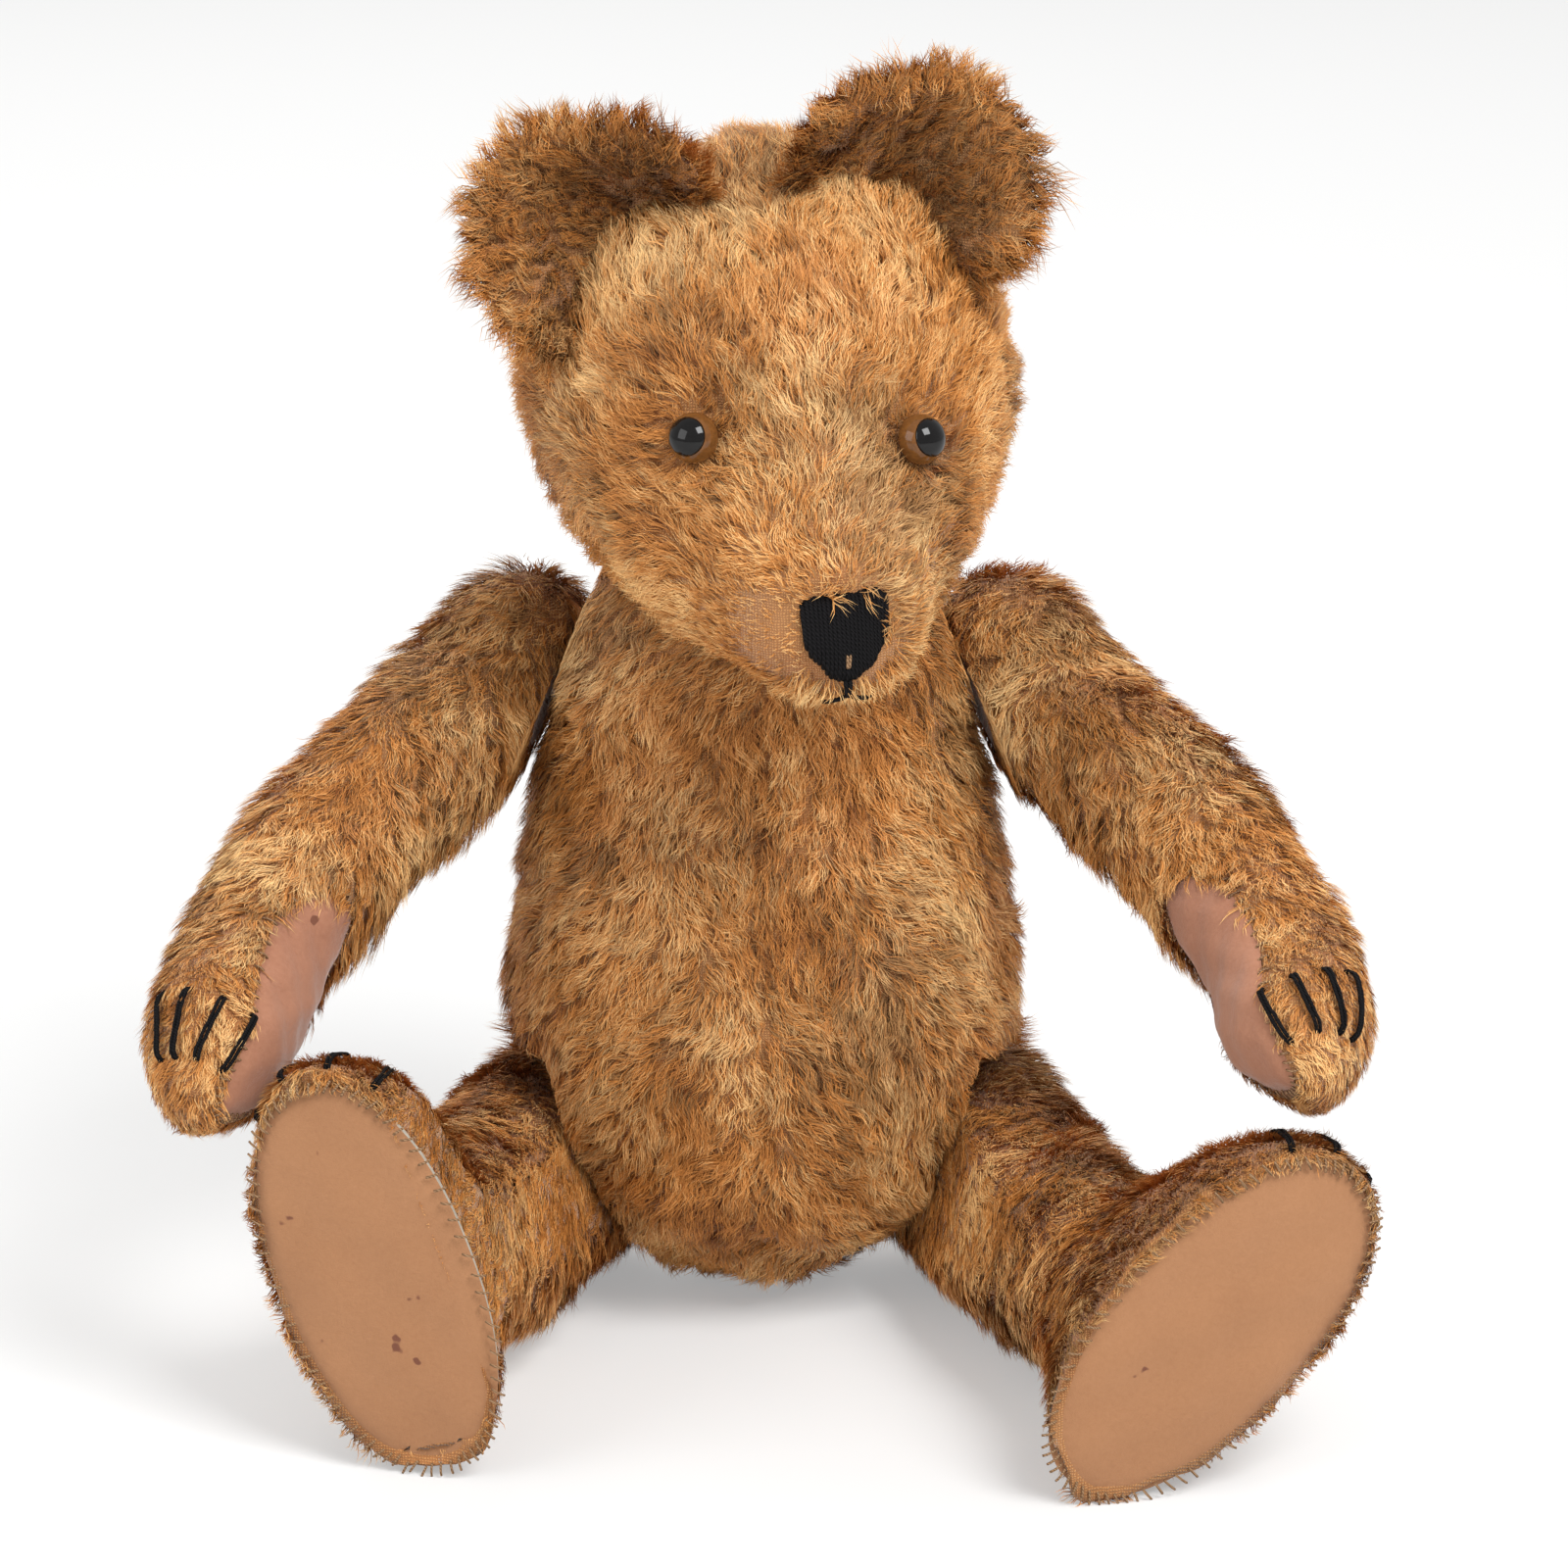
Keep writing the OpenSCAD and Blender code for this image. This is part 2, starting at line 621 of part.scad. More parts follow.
foot_wall = 8;      // the foot keeps its full section from this far before the sole
past_sole = 16;     // the leg's form runs on past the sole, which cuts it off
function leg_stations(side) =
    let (lift = foot_lift(side),
         out = foot_out(side),
         turn = roll(side),
         len = leg_len(side))
    [
        [-30, 0, 0.75 * leg_out, 0, 0, 0],
        [-13, 0, 0.92 * leg_out, 0.44 * thigh_w, 0.46 * thigh_w, 0],
        [20, 0, leg_out, 0.47 * thigh_w, 0.50 * thigh_w, 0],
        [0.44 * len, -0.1 * lift, leg_out, 0.43 * thigh_w, 0.46 * thigh_w, 0.2 * turn],
        [0.74 * len, -0.5 * lift, (leg_out + out) / 2, 0.50 * ankle_w, 0.62 * ankle_w, 0.7 * turn],
        [len - foot_wall, -lift, out, 0.50 * foot_w, 0.50 * foot_len, turn],
        [len + past_sole, -lift, out, 0.50 * foot_w, 0.50 * foot_len, turn]
    ];
function leg(side) = form(leg_stations(side), LIMB_RINGS, LIMB_SIDES, [0, 1, 0]);

// Everything beyond the sole, from depth inside it
module beyond_sole(side, depth) at_sole(side) translate([-FAR, -FAR, -depth])
    cube([2 * FAR, 2 * FAR, FAR]);

// Prism over the sole's oval, drawn in by inset, from below to above its plane
module sole_prism(side, inset, below, above) at_sole(side) translate([0, 0, -below])
    linear_extrude(height = below + above)
        polygon(oval(foot_w / 2 - inset, foot_len / 2 - inset));

sole_in = 0.5;                               // depth of the felt inside its rim
card_in = sole_in + felt_t + seat;           // where the card starts
stuffing_in = card_in + card_t + seat;       // where the stuffing starts

module leg_cover(side) color(fur_colour) difference() {
    intersection() {
        at_hip(side) skin(leg(side));
        above_seat();
    }
    difference() {
        at_hip(side) skin(leg(side), -cover_t);
        at_hip(side) beyond_plane(cover_t);
    }
    at_hip(side) {
        beyond_plane(0);
        pin_hole();
    }
    beyond_sole(side, 0);
    sole_prism(side, rim_w, stuffing_in, 1);
}

module leg_stuffing(side) color(stuffing_colour) difference() {
    at_hip(side) skin(leg(side), -cover_t - seat);
    at_hip(side) {
        beyond_plane(cover_t + seat);
        joint_room(hip_disc_d);
    }
    beyond_sole(side, stuffing_in);
}

module sole_pad(side) color(felt_colour)
    sole_prism(side, rim_w + seat, sole_in + felt_t, -sole_in);

module sole_card(side) color(card_colour)
    sole_prism(side, rim_w + seat, card_in + card_t, -card_in);

module foot_claws(side) color(thread_colour) intersection() {
    at_hip(side) stitch_layer(leg(side));
    at_sole(side) translate([0, -(foot_len - foot_w) / 2, 0])
        for (i = [0:claws - 1]) rotate([0, 0, 180 + claw_spread * (i - claw_middle)])
            translate([-claw_w / 2, 0, -claw_to_sole - claw_len])
                cube([claw_w, foot_len, claw_len]);
}

// ---- Nose and mouth ----

nose_up = -8;      // middle of the nose above the middle of the skull
nose_side = 2.5;   // middle of the nose towards the left of the muzzle's middle
nose_corner = 4;   // radius of the nose's upper corners
nose_point = 2;    // radius of the nose's lower end
module nose() color(thread_colour) at_head() intersection() {
    stitch_layer(head);
    translate([nose_side, 0, nose_up]) rotate([90, 0, 0]) linear_extrude(height = head_len) hull() {
        for (side = [-1, 1])
            translate([side * (nose_w / 2 - nose_corner), nose_h / 2 - nose_corner])
                circle(r = nose_corner, $fn = 32);
        for (side = [-1, 1])
            translate([side * (0.32 * nose_w - nose_corner / 2), -0.22 * nose_h])
                circle(r = nose_corner, $fn = 32);
        translate([0, nose_point - nose_h / 2]) circle(r = nose_point, $fn = 32);
    }
}

// One stitch down from the nose and two that spread from its end
mouth_down = 3;
mouth_len = 7;
mouth_spread = 62; // angle of each lower stitch from straight down
module mouth() color(thread_colour) at_head() intersection() {
    stitch_layer(head);
    translate([nose_side, 0, nose_up - nose_h / 2 - seat]) rotate([90, 0, 0])
        linear_extrude(height = head_len) union() {
            translate([-claw_w / 2, -mouth_down]) square([claw_w, mouth_down]);
            for (side = [-1, 1]) translate([0, -mouth_down]) rotate(side * mouth_spread)
                translate([-claw_w / 2, -mouth_len]) square([claw_w, mouth_len]);
        }
}

torso_cover();
torso_stuffing();
head_cover();
head_stuffing();
ear(1);  // left_ear
ear(-1);  // right_ear
eye(1);  // left_eye
eye(-1);  // right_eye
pupil(1);  // left_pupil
pupil(-1);  // right_pupil
nose();
mouth();
arm_cover(1);  // left_arm_cover
arm_stuffing(1);  // left_arm_stuffing
paw_pad(1);  // left_paw_pad
paw_claws(1);  // left_paw_claws
arm_cover(-1);  // right_arm_cover
arm_stuffing(-1);  // right_arm_stuffing
paw_pad(-1);  // right_paw_pad
paw_claws(-1);  // right_paw_claws
leg_cover(1);  // left_leg_cover
leg_stuffing(1);  // left_leg_stuffing
sole_pad(1);  // left_sole_pad
sole_card(1);  // left_sole_card
foot_claws(1);  // left_foot_claws
leg_cover(-1);  // right_leg_cover
leg_stuffing(-1);  // right_leg_stuffing
sole_pad(-1);  // right_sole_pad
sole_card(-1);  // right_sole_card
foot_claws(-1);  // right_foot_claws
at_neck() torso_side() disc(neck_disc_d);  // neck_torso_disc
at_neck() disc(neck_disc_d);  // neck_head_disc
at_neck() torso_side() washer();  // neck_torso_washer
at_neck() washer();  // neck_head_washer
at_neck() split_pin();  // neck_pin
at_shoulder(1) torso_side() disc(shoulder_disc_d);  // left_shoulder_torso_disc
at_shoulder(1) disc(shoulder_disc_d);  // left_shoulder_arm_disc
at_shoulder(1) torso_side() washer();  // left_shoulder_torso_washer
at_shoulder(1) washer();  // left_shoulder_arm_washer
at_shoulder(1) split_pin();  // left_shoulder_pin
at_hip(1) torso_side() disc(hip_disc_d);  // left_hip_torso_disc
at_hip(1) disc(hip_disc_d);  // left_hip_leg_disc
at_hip(1) torso_side() washer();  // left_hip_torso_washer
at_hip(1) washer();  // left_hip_leg_washer
at_hip(1) split_pin();  // left_hip_pin
at_shoulder(-1) torso_side() disc(shoulder_disc_d);  // right_shoulder_torso_disc
at_shoulder(-1) disc(shoulder_disc_d);  // right_shoulder_arm_disc
at_shoulder(-1) torso_side() washer();  // right_shoulder_torso_washer
at_shoulder(-1) washer();  // right_shoulder_arm_washer
at_shoulder(-1) split_pin();  // right_shoulder_pin
at_hip(-1) torso_side() disc(hip_disc_d);  // right_hip_torso_disc
at_hip(-1) disc(hip_disc_d);  // right_hip_leg_disc
at_hip(-1) torso_side() washer();  // right_hip_torso_washer
at_hip(-1) washer();  // right_hip_leg_washer
at_hip(-1) split_pin();  // right_hip_pin
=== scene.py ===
import json
import math
import bpy
import numpy as np
from mathutils import Matrix, Vector
from mathutils.bvhtree import BVHTree


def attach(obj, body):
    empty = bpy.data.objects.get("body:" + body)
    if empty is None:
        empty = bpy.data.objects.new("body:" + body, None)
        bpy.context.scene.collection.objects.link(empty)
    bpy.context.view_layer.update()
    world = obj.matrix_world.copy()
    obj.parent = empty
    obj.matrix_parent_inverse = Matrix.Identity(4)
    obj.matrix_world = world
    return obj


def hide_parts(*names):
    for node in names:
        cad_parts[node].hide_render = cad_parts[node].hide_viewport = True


# A jointed teddy bear in worn mohair. Lengths are in millimetres until a mesh is made, and every
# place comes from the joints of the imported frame.

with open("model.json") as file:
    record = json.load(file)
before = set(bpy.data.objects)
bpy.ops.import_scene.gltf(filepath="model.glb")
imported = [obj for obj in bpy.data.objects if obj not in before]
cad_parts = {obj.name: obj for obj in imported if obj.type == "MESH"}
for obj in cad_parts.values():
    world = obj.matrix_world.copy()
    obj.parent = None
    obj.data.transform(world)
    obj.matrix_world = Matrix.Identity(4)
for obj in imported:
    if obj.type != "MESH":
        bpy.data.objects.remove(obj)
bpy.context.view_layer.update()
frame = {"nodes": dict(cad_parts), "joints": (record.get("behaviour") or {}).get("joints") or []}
MM = 0.001
JOINTS = {j["name"]: np.array(j["pos_m"]) / MM for j in frame["joints"]}

# ---- Places: the same frames as the part's source ----


def turn(axis, degrees):
    return np.array(Matrix.Rotation(math.radians(degrees), 4, axis))


def move(x, y, z):
    m = np.eye(4)
    m[:3, 3] = (x, y, z)
    return m


def mirror(side):
    return np.diag([side, 1, 1, 1]).astype(float)


HALF_GAP = 0.3
HEAD_NOD, HEAD_TURN, HEAD_ROLL, NECK_LEAN = 20, 9, 2, 8
SKULL_FORWARD, HEAD_RISE = 8, 46
SHOULDER_TILT, SHOULDER_TURN = 20, 10
ARM_DROP = {1: 33, -1: 37}
HIP_TILT, HIP_TURN = 20, 14
LEG_LEN = {1: 145, -1: 130}
FOOT_ROLL = {1: 24, -1: 0}
FOOT_OUT = {1: 9, -1: -3}
THIGH_W, ANKLE_W, FOOT_LEN, FOOT_W = 58, 46, 94, 50
ARM_LEN, ARM_W, WRIST_W, ARM_OUT = 143, 46, 38, 20
LEG_OUT = 0.34 * THIGH_W
THIGH_REACH = THIGH_W / 2 + 2
UNDER = 4.5          # depth of the cloth below the solids, which is room for the pile
BARE_R, BARE_DEEP = 13, 2.5   # where cloth lies on a joint's discs
NAMES = {1: "left", -1: "right"}


def at_neck():
    return move(*JOINTS["neck_turn"]) @ turn("X", NECK_LEAN)


def at_head():
    lean = turn("X", HEAD_NOD - NECK_LEAN)
    roll = turn("Y", -HEAD_ROLL)
    return at_neck() @ turn("Z", HEAD_TURN) @ roll @ lean @ move(0, -SKULL_FORWARD, HEAD_RISE)


def at_shoulder(side):
    x, y, z = JOINTS["left_shoulder_swing"]
    tilt = turn("Z", SHOULDER_TURN) @ turn("Y", -SHOULDER_TILT)
    return mirror(side) @ move(x, y, z) @ tilt @ turn("Z", -90) @ turn("X", -90)


def at_arm(side):
    return at_shoulder(side) @ turn("Z", ARM_DROP[side])


def at_hip(side):
    x, y, z = JOINTS["left_hip_swing"]
    tilt = turn("Z", HIP_TURN) @ turn("Y", HIP_TILT)
    return mirror(side) @ move(x, y, z) @ tilt @ turn("Z", -90) @ turn("X", -90)


def reach(w, h, lean):
    r = math.radians(lean)
    return math.hypot(w * math.sin(r), h * math.cos(r))


def foot_out(side):
    return LEG_OUT + FOOT_OUT[side]


def foot_lift(side):
    r = math.radians(HIP_TILT)
    thigh_down = reach(0.47 * THIGH_W, THIGH_W / 2, HIP_TILT)
    down = reach(FOOT_W / 2, FOOT_LEN / 2, HIP_TILT + FOOT_ROLL[side]) - thigh_down
    return (down + FOOT_OUT[side] * math.sin(r)) / math.cos(r)


def at_sole(side):
    place = move(LEG_LEN[side], -foot_lift(side), foot_out(side))
    return at_hip(side) @ place @ turn("X", -FOOT_ROLL[side]) @ turn("Y", 90)


def apply(m, p):
    return p @ m[:3, :3].T + m[:3, 3]


def local(m, p):
    return apply(np.linalg.inv(m), p)


# ---- Smooth forms, the same as in the part's source ----


def unit(v):
    return v / np.maximum(np.linalg.norm(v, axis=-1, keepdims=True), 1e-9)


def squared(stations):
    s = np.array(stations, float)
    s[:, 3:5] **= 2
    return s


def smooth(table, u):
    last = len(table) - 1
    i = np.clip(np.floor(u).astype(int), 0, last - 1)
    f = (u - i)[..., None]
    a, b = table[np.maximum(i - 1, 0)], table[i]
    c, d = table[i + 1], table[np.minimum(i + 2, last)]
    third = f ** 3 * (1.5 * (b - c) + (d - a) / 2)
    return b + f * (c - a) / 2 + f ** 2 * (a - 2.5 * b + 2 * c - d / 2) + third


def on_form(stations, u, a, ref):
    """Points of a form at places u along it and angles a round it."""
    table = squared(stations)
    last = len(table) - 1
    s = smooth(table, u)
    ahead = smooth(table, np.minimum(u + 0.05, last))[..., :3]
    behind = smooth(table, np.maximum(u - 0.05, 0))[..., :3]
    along = unit(ahead - behind)
    side = unit(np.cross(along, np.array(ref, float)))
    up = np.cross(side, along)
    x = np.sqrt(np.maximum(s[..., 3], 0)) * np.cos(a)
    y = np.sqrt(np.maximum(s[..., 4], 0)) * np.sin(a)
    r = np.radians(s[..., 5])
    across, above = x * np.cos(r) - y * np.sin(r), x * np.sin(r) + y * np.cos(r)
    return s[..., :3] + across[..., None] * side + above[..., None] * up


def waves(p, size, seed, count=10):
    """Smooth noise, mostly from -1 to 1, whose features are about size mm wide."""
    rng = np.random.default_rng(seed)
    k = unit(rng.normal(size=(count, 3))) * 2 * np.pi / size
    k *= rng.uniform(0.6, 1.6, size=(count, 1))
    shift = rng.uniform(0, 2 * np.pi, count)
    return np.sin(p @ k.T + shift).sum(axis=-1) / math.sqrt(count / 2) / 1.4


class Skin:
    """The cloth of a form: a closed grid of rings, moved outwards by lay(u) mm."""

    def __init__(self, stations, ref, place, lay, keep, rings, sides, shape=None, finish=None):
        self.place, self.keep = place, keep
        last = len(stations) - 1
        k = np.arange(rings + 2)
        u = last * (1 - np.cos(np.pi * k / (rings + 1))) / 2
        a = -2 * np.pi * np.arange(sides) / sides
        self.u, self.a = np.meshgrid(u, a, indexing="ij")
        flat = on_form(stations, self.u, self.a, ref)
        flat[0], flat[-1] = np.array(stations[0][:3]), np.array(stations[-1][:3])
        normals = self.normals_of(flat)
        flat = flat + normals * lay(self.u)[..., None]
        if shape:
            flat = flat + normals * shape(flat, self.u, self.a)[..., None]
        self.free = apply(place, flat)
        self.world = keep(self.free.reshape(-1, 3), 0.5).reshape(self.free.shape)
        if finish:
            self.world = finish(self.world.reshape(-1, 3)).reshape(self.free.shape)
        self.flip = np.linalg.det(place[:3, :3]) < 0
        self.normals = self.normals_of(self.world) * (-1 if self.flip else 1)

    @staticmethod
    def normals_of(grid):
        round_it = np.roll(grid, -1, axis=1) - np.roll(grid, 1, axis=1)
        along = np.zeros_like(grid)
        along[1:-1] = grid[2:] - grid[:-2]
        n = np.cross(round_it, along)
        n[0] = np.broadcast_to(grid[0].mean(0) - grid[1].mean(0), n[0].shape)
        n[-1] = np.broadcast_to(grid[-1].mean(0) - grid[-2].mean(0), n[-1].shape)
        return unit(n)

    def faces(self):
        count, sides = self.world.shape[0] - 2, self.world.shape[1]
        j = np.arange(sides)
        nxt = (j + 1) % sides
        out = [(0, 1 + a, 1 + b) for a, b in zip(j, nxt)]
        for i in range(count - 1):
            a = 1 + i * sides
            out += [(a + p, a + sides + p, a + sides + q, a + q) for p, q in zip(j, nxt)]
        last = 1 + count * sides
        out += [(last, last - sides + b, last - sides + a) for a, b in zip(j, nxt)]
        return [f[::-1] for f in out] if self.flip else out

    def points(self):
        rings = self.world[1:-1].reshape(-1, 3)
        return np.concatenate([self.world[:1, 0], rings, self.world[-1:, 0]])

    def tree(self):
        return BVHTree.FromPolygons([Vector(p) for p in self.points()], self.faces())

    def roots(self, rng, density):
        """Random places on the cloth: world place, normal, u and a."""
        g = self.world
        c = [g[:-1], g[1:], np.roll(g, -1, axis=1)[:-1], np.roll(g, -1, axis=1)[1:]]
        area = np.linalg.norm(np.cross(c[3] - c[0], c[2] - c[1]), axis=-1) / 2
        total = np.cumsum(area.reshape(-1))
        count = int(total[-1] * density)
        cell = np.searchsorted(total, rng.uniform(0, total[-1], count))
        cell = np.minimum(cell, area.size - 1)
        i, j = cell // area.shape[1], cell % area.shape[1]
        s, t = rng.uniform(size=count), rng.uniform(size=count)
        step = 2 * np.pi / area.shape[1]

        def mixed(v):
            nxt = (j + 1) % v.shape[1]
            w = (s, t) if v.ndim == 2 else (s[:, None], t[:, None])
            low = v[i, j] * (1 - w[1]) + v[i, nxt] * w[1]
            high = v[i + 1, j] * (1 - w[1]) + v[i + 1, nxt] * w[1]
            return low * (1 - w[0]) + high * w[0]

        u = self.u[i, j] * (1 - s) + self.u[i + 1, j] * s
        a = self.a[i, j] - t * step
        return mixed(g), unit(mixed(self.normals)), u, a


# ---- What each body keeps clear of ----


def beyond(m, p, gap):
    """Moves points that lie inside a joint's plane, as seen from the limb, out onto it."""
    q = local(m, p)
    q[:, 2] = np.maximum(q[:, 2], HALF_GAP + gap)
    return apply(m, q)


def above_floor(p, gap):
    p = p.copy()
    p[:, 2] = np.maximum(p[:, 2], 0.2 + gap / 2)
    return p


def at_joint_disc(p):
    """Where cloth lies on a joint's discs, and has no pile."""
    out = np.zeros(len(p), bool)
    for m in (at_neck(), at_shoulder(1), at_shoulder(-1), at_hip(1), at_hip(-1)):
        q = local(m, p)
        out |= (np.hypot(q[:, 0], q[:, 1]) < BARE_R) & (np.abs(q[:, 2]) < BARE_DEEP)
    return out


def keep_torso(p, gap):
    p, gap = above_floor(p, gap), gap + np.zeros(len(p))
    for m in (at_neck(), at_shoulder(1), at_shoulder(-1)):
        q = local(m, p)
        q[:, 2] = np.minimum(q[:, 2], -HALF_GAP - gap)
        p = apply(m, q)
    for side in (1, -1):
        q = local(at_hip(side), p)
        r = THIGH_REACH
        ring = q[:, 0] ** 2 + q[:, 1] ** 2 < r * r
        blocks = ((q[:, 0] > 0) & (q[:, 1] > -r)) | ((q[:, 0] > -r) & (q[:, 1] > 0))
        room = (q[:, 2] > -HALF_GAP - gap) & (ring | blocks)
        q[room, 2] = -HALF_GAP - gap[room]
        p = apply(at_hip(side), q)
    return p


def keep_head(p, gap):
    return beyond(at_neck(), p, gap)


def keep_arm(side):
    return lambda p, gap: beyond(at_shoulder(side), p, gap)


def keep_leg(side):
    def keep(p, gap):
        q = local(at_sole(side), p)
        # Hairs stop at the sole's plane, and sole_end turns the cloth in.
        q[:, 2] = np.minimum(q[:, 2], 0.3 * (gap < 0.5) + 30 * (gap >= 0.5))
        p = apply(at_sole(side), q)
        return above_floor(beyond(at_hip(side), p, gap), gap)
    return keep


def sole_end(side):
    """Turns the cloth past a sole's plane inwards, as a flat end behind the felt."""
    def end(p):
        q = local(at_sole(side), p)
        inward = np.clip((q[:, 2] + 0.4) / 15, 0, 1)
        past = q[:, 2] > -0.4
        q[:, :2] *= (1 - 0.99 * inward)[:, None]
        q[past, 2] = -0.4 - 1.8 * blend_in(inward[past], 0.04, 0.16)
        return above_floor(apply(at_sole(side), q), 0.5)
    return end


# ---- Meshes and materials ----


def mesh_object(name, points, faces, material):
    """A mesh from points in mm."""
    mesh = bpy.data.meshes.new(name)
    mesh.from_pydata([tuple(p) for p in np.asarray(points) * MM], [], [tuple(f) for f in faces])
    mesh.validate()
    obj = bpy.data.objects.new(name, mesh)
    bpy.context.scene.collection.objects.link(obj)
    mesh.materials.append(material)
    mesh.polygons.foreach_set("use_smooth", [True] * len(mesh.polygons))
    return obj


def dress(obj, body, slot, *nodes):
    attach(obj, body)
    if nodes:
        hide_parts(*nodes)
    return obj


class Nodes:
    """A material's node tree, written in short calls."""

    def __init__(self, name, **sockets):
        self.material = bpy.data.materials.new(name)
        self.material.use_nodes = True
        self.tree = self.material.node_tree
        self.shader = self.tree.nodes["Principled BSDF"]
        for key, value in sockets.items():
            self.shader.inputs[key.replace("_", " ")].default_value = value

    def node(self, kind, **settings):
        n = self.tree.nodes.new("ShaderNode" + kind)
        for key, value in settings.items():
            if hasattr(n, key):
                setattr(n, key, value)
            else:
                n.inputs[key.replace("_", " ")].default_value = value
        return n

    def link(self, a, b):
        self.tree.links.new(a, b)

    def place(self):
        return self.node("TexCoord").outputs["Object"]

    def noise(self, scale, detail=4, rough=0.6, at=None):
        n = self.node("TexNoise", Scale=scale, Detail=detail, Roughness=rough)
        self.link(at or self.place(), n.inputs["Vector"])
        return n.outputs["Fac"]

    def ramp(self, value, *stops):
        n = self.node("ValToRGB")
        while len(n.color_ramp.elements) < len(stops):
            n.color_ramp.elements.new(0.5)
        for e, (at, colour) in zip(n.color_ramp.elements, stops):
            e.position = at
            e.color = (*colour, 1)
        self.link(value, n.inputs["Fac"])
        return n.outputs["Color"]

    def mix(self, fac, a, b, kind="MIX"):
        n = self.node("Mix", data_type="RGBA", blend_type=kind)
        for socket, value in ((n.inputs["Factor"], fac), (n.inputs[6], a), (n.inputs[7], b)):
            if isinstance(value, (int, float)):
                socket.default_value = value
            elif isinstance(value, tuple):
                socket.default_value = (*value, 1)
            else:
                self.link(value, socket)
        return n.outputs[2]

    def maths(self, kind, a, b):
        n = self.node("Math", operation=kind)
        for socket, value in zip(n.inputs, (a, b)):
            if isinstance(value, (int, float)):
                socket.default_value = value
            else:
                self.link(value, socket)
        return n.outputs[0]

    def colour(self, value):
        self.link(value, self.shader.inputs["Base Color"])

    def rough(self, value, low, high):
        n = self.node("MapRange")
        self.link(value, n.inputs["Value"])
        n.inputs["To Min"].default_value = low
        n.inputs["To Max"].default_value = high
        self.link(n.outputs["Result"], self.shader.inputs["Roughness"])

    def bump(self, height, strength, distance):
        n = self.node("Bump", Strength=strength, Distance=distance)
        self.link(height, n.inputs["Height"])
        self.link(n.outputs["Normal"], self.shader.inputs["Normal"])


def cloth_material():
    """The woven backing of the mohair, orange-brown and greyer in patches."""
    m = Nodes("mohair_backing", Roughness=0.9, Sheen_Weight=0.25, Sheen_Roughness=0.5)
    warm = m.ramp(m.noise(45, 5), (0.3, (0.22, 0.075, 0.018)), (0.7, (0.38, 0.15, 0.04)))
    grey = m.ramp(m.noise(22, 3), (0.45, (0, 0, 0)), (0.7, (1, 1, 1)))
    patched = m.mix(grey, warm, (0.26, 0.125, 0.045))
    weft = m.node("TexWave", wave_type="BANDS", bands_direction="Z", Scale=520, Distortion=5)
    warp = m.node("TexWave", wave_type="BANDS", bands_direction="X", Scale=520, Distortion=5)
    for w in (weft, warp):
        m.link(m.place(), w.inputs["Vector"])
    weave = m.maths("MULTIPLY", weft.outputs["Fac"], warp.outputs["Fac"])
    m.colour(m.mix(weave, patched, (0.55, 0.26, 0.085)))
    m.bump(weave, 0.6, 0.0004)
    return m.material


def felt_material(name, low, high, spots):
    """Wool felt: matted fibres, a mottled tint, and a few dark specks."""
    m = Nodes(name, Roughness=0.95, Sheen_Weight=0.4, Sheen_Roughness=0.4)
    m.shader.inputs["Specular IOR Level"].default_value = 0.2
    fibres = m.noise(900, 6, 0.75)
    tint = m.mix(m.noise(38, 4), low, high)
    fine = m.mix(0.35, tint, m.ramp(fibres, (0.3, low), (0.75, high)))
    speck = m.ramp(m.noise(160, 2, 0.4), (spots, (0, 0, 0)), (spots + 0.02, (1, 1, 1)))
    m.colour(m.mix(speck, fine, (0.16, 0.06, 0.035)))
    m.bump(fibres, 0.5, 0.0005)
    return m.material


def thread_material(name, low, high):
    """Embroidery thread: a twisted strand with fine fibres."""
    m = Nodes(name, Roughness=0.75)
    m.shader.inputs["Specular IOR Level"].default_value = 0.12
    twist = m.node("TexWave", wave_type="BANDS", bands_direction="DIAGONAL", Scale=700,
                   Distortion=3)
    m.link(m.place(), twist.inputs["Vector"])
    m.colour(m.mix(twist.outputs["Fac"], low, high))
    m.bump(twist.outputs["Fac"], 0.5, 0.0003)
    return m.material


TONES = {"warm": ((0.15, 0.04, 0.006), (0.56, 0.22, 0.05), (0.90, 0.57, 0.24)),
         "grey": ((0.09, 0.038, 0.011), (0.40, 0.20, 0.07), (0.74, 0.50, 0.23))}
SHADES = 8


def fur_materials():
    """Mohair hairs from dark to pale, first in the warm tone and then in the greyer one."""
    out = []
    for tone, stops in TONES.items():
        for k in range(SHADES):
            c = [np.interp(k / (SHADES - 1), (0, 0.55, 1), channel) for channel in zip(*stops)]
            m = Nodes(f"mohair_{tone}_{k}", Base_Color=(*c, 1))
            m.shader.inputs["Specular IOR Level"].default_value = 0.2
            m.rough(m.noise(60, 3), 0.42, 0.62)
            out.append(m.material)
    return out


CLOTH = cloth_material()
SOLE_FELT = felt_material("sole_felt", (0.29, 0.135, 0.062), (0.40, 0.20, 0.098), 0.735)
PAW_FELT = felt_material("paw_felt", (0.25, 0.10, 0.055), (0.45, 0.22, 0.135), 0.76)
BLACK_THREAD = thread_material("black_thread", (0.0015, 0.0015, 0.0015), (0.008, 0.007, 0.008))
TAN_THREAD = thread_material("tan_thread", (0.16, 0.09, 0.045), (0.33, 0.20, 0.11))
FUR = fur_materials()

# ---- Pile: every hair is a thin bent blade, and hairs gather in locks ----


def luck(number, n):
    """A repeatable number from 0 to 1 for each whole number."""
    h = (number * 2246822519 + n * 3266489917) & 0xFFFFFFFF
    h = ((h ^ (h >> 15)) * 2654435761) & 0xFFFFFFFF
    h = ((h ^ (h >> 13)) * 1274126177) & 0xFFFFFFFF
    return ((h ^ (h >> 16)) & 0xFFFFFF) / 0x1000000


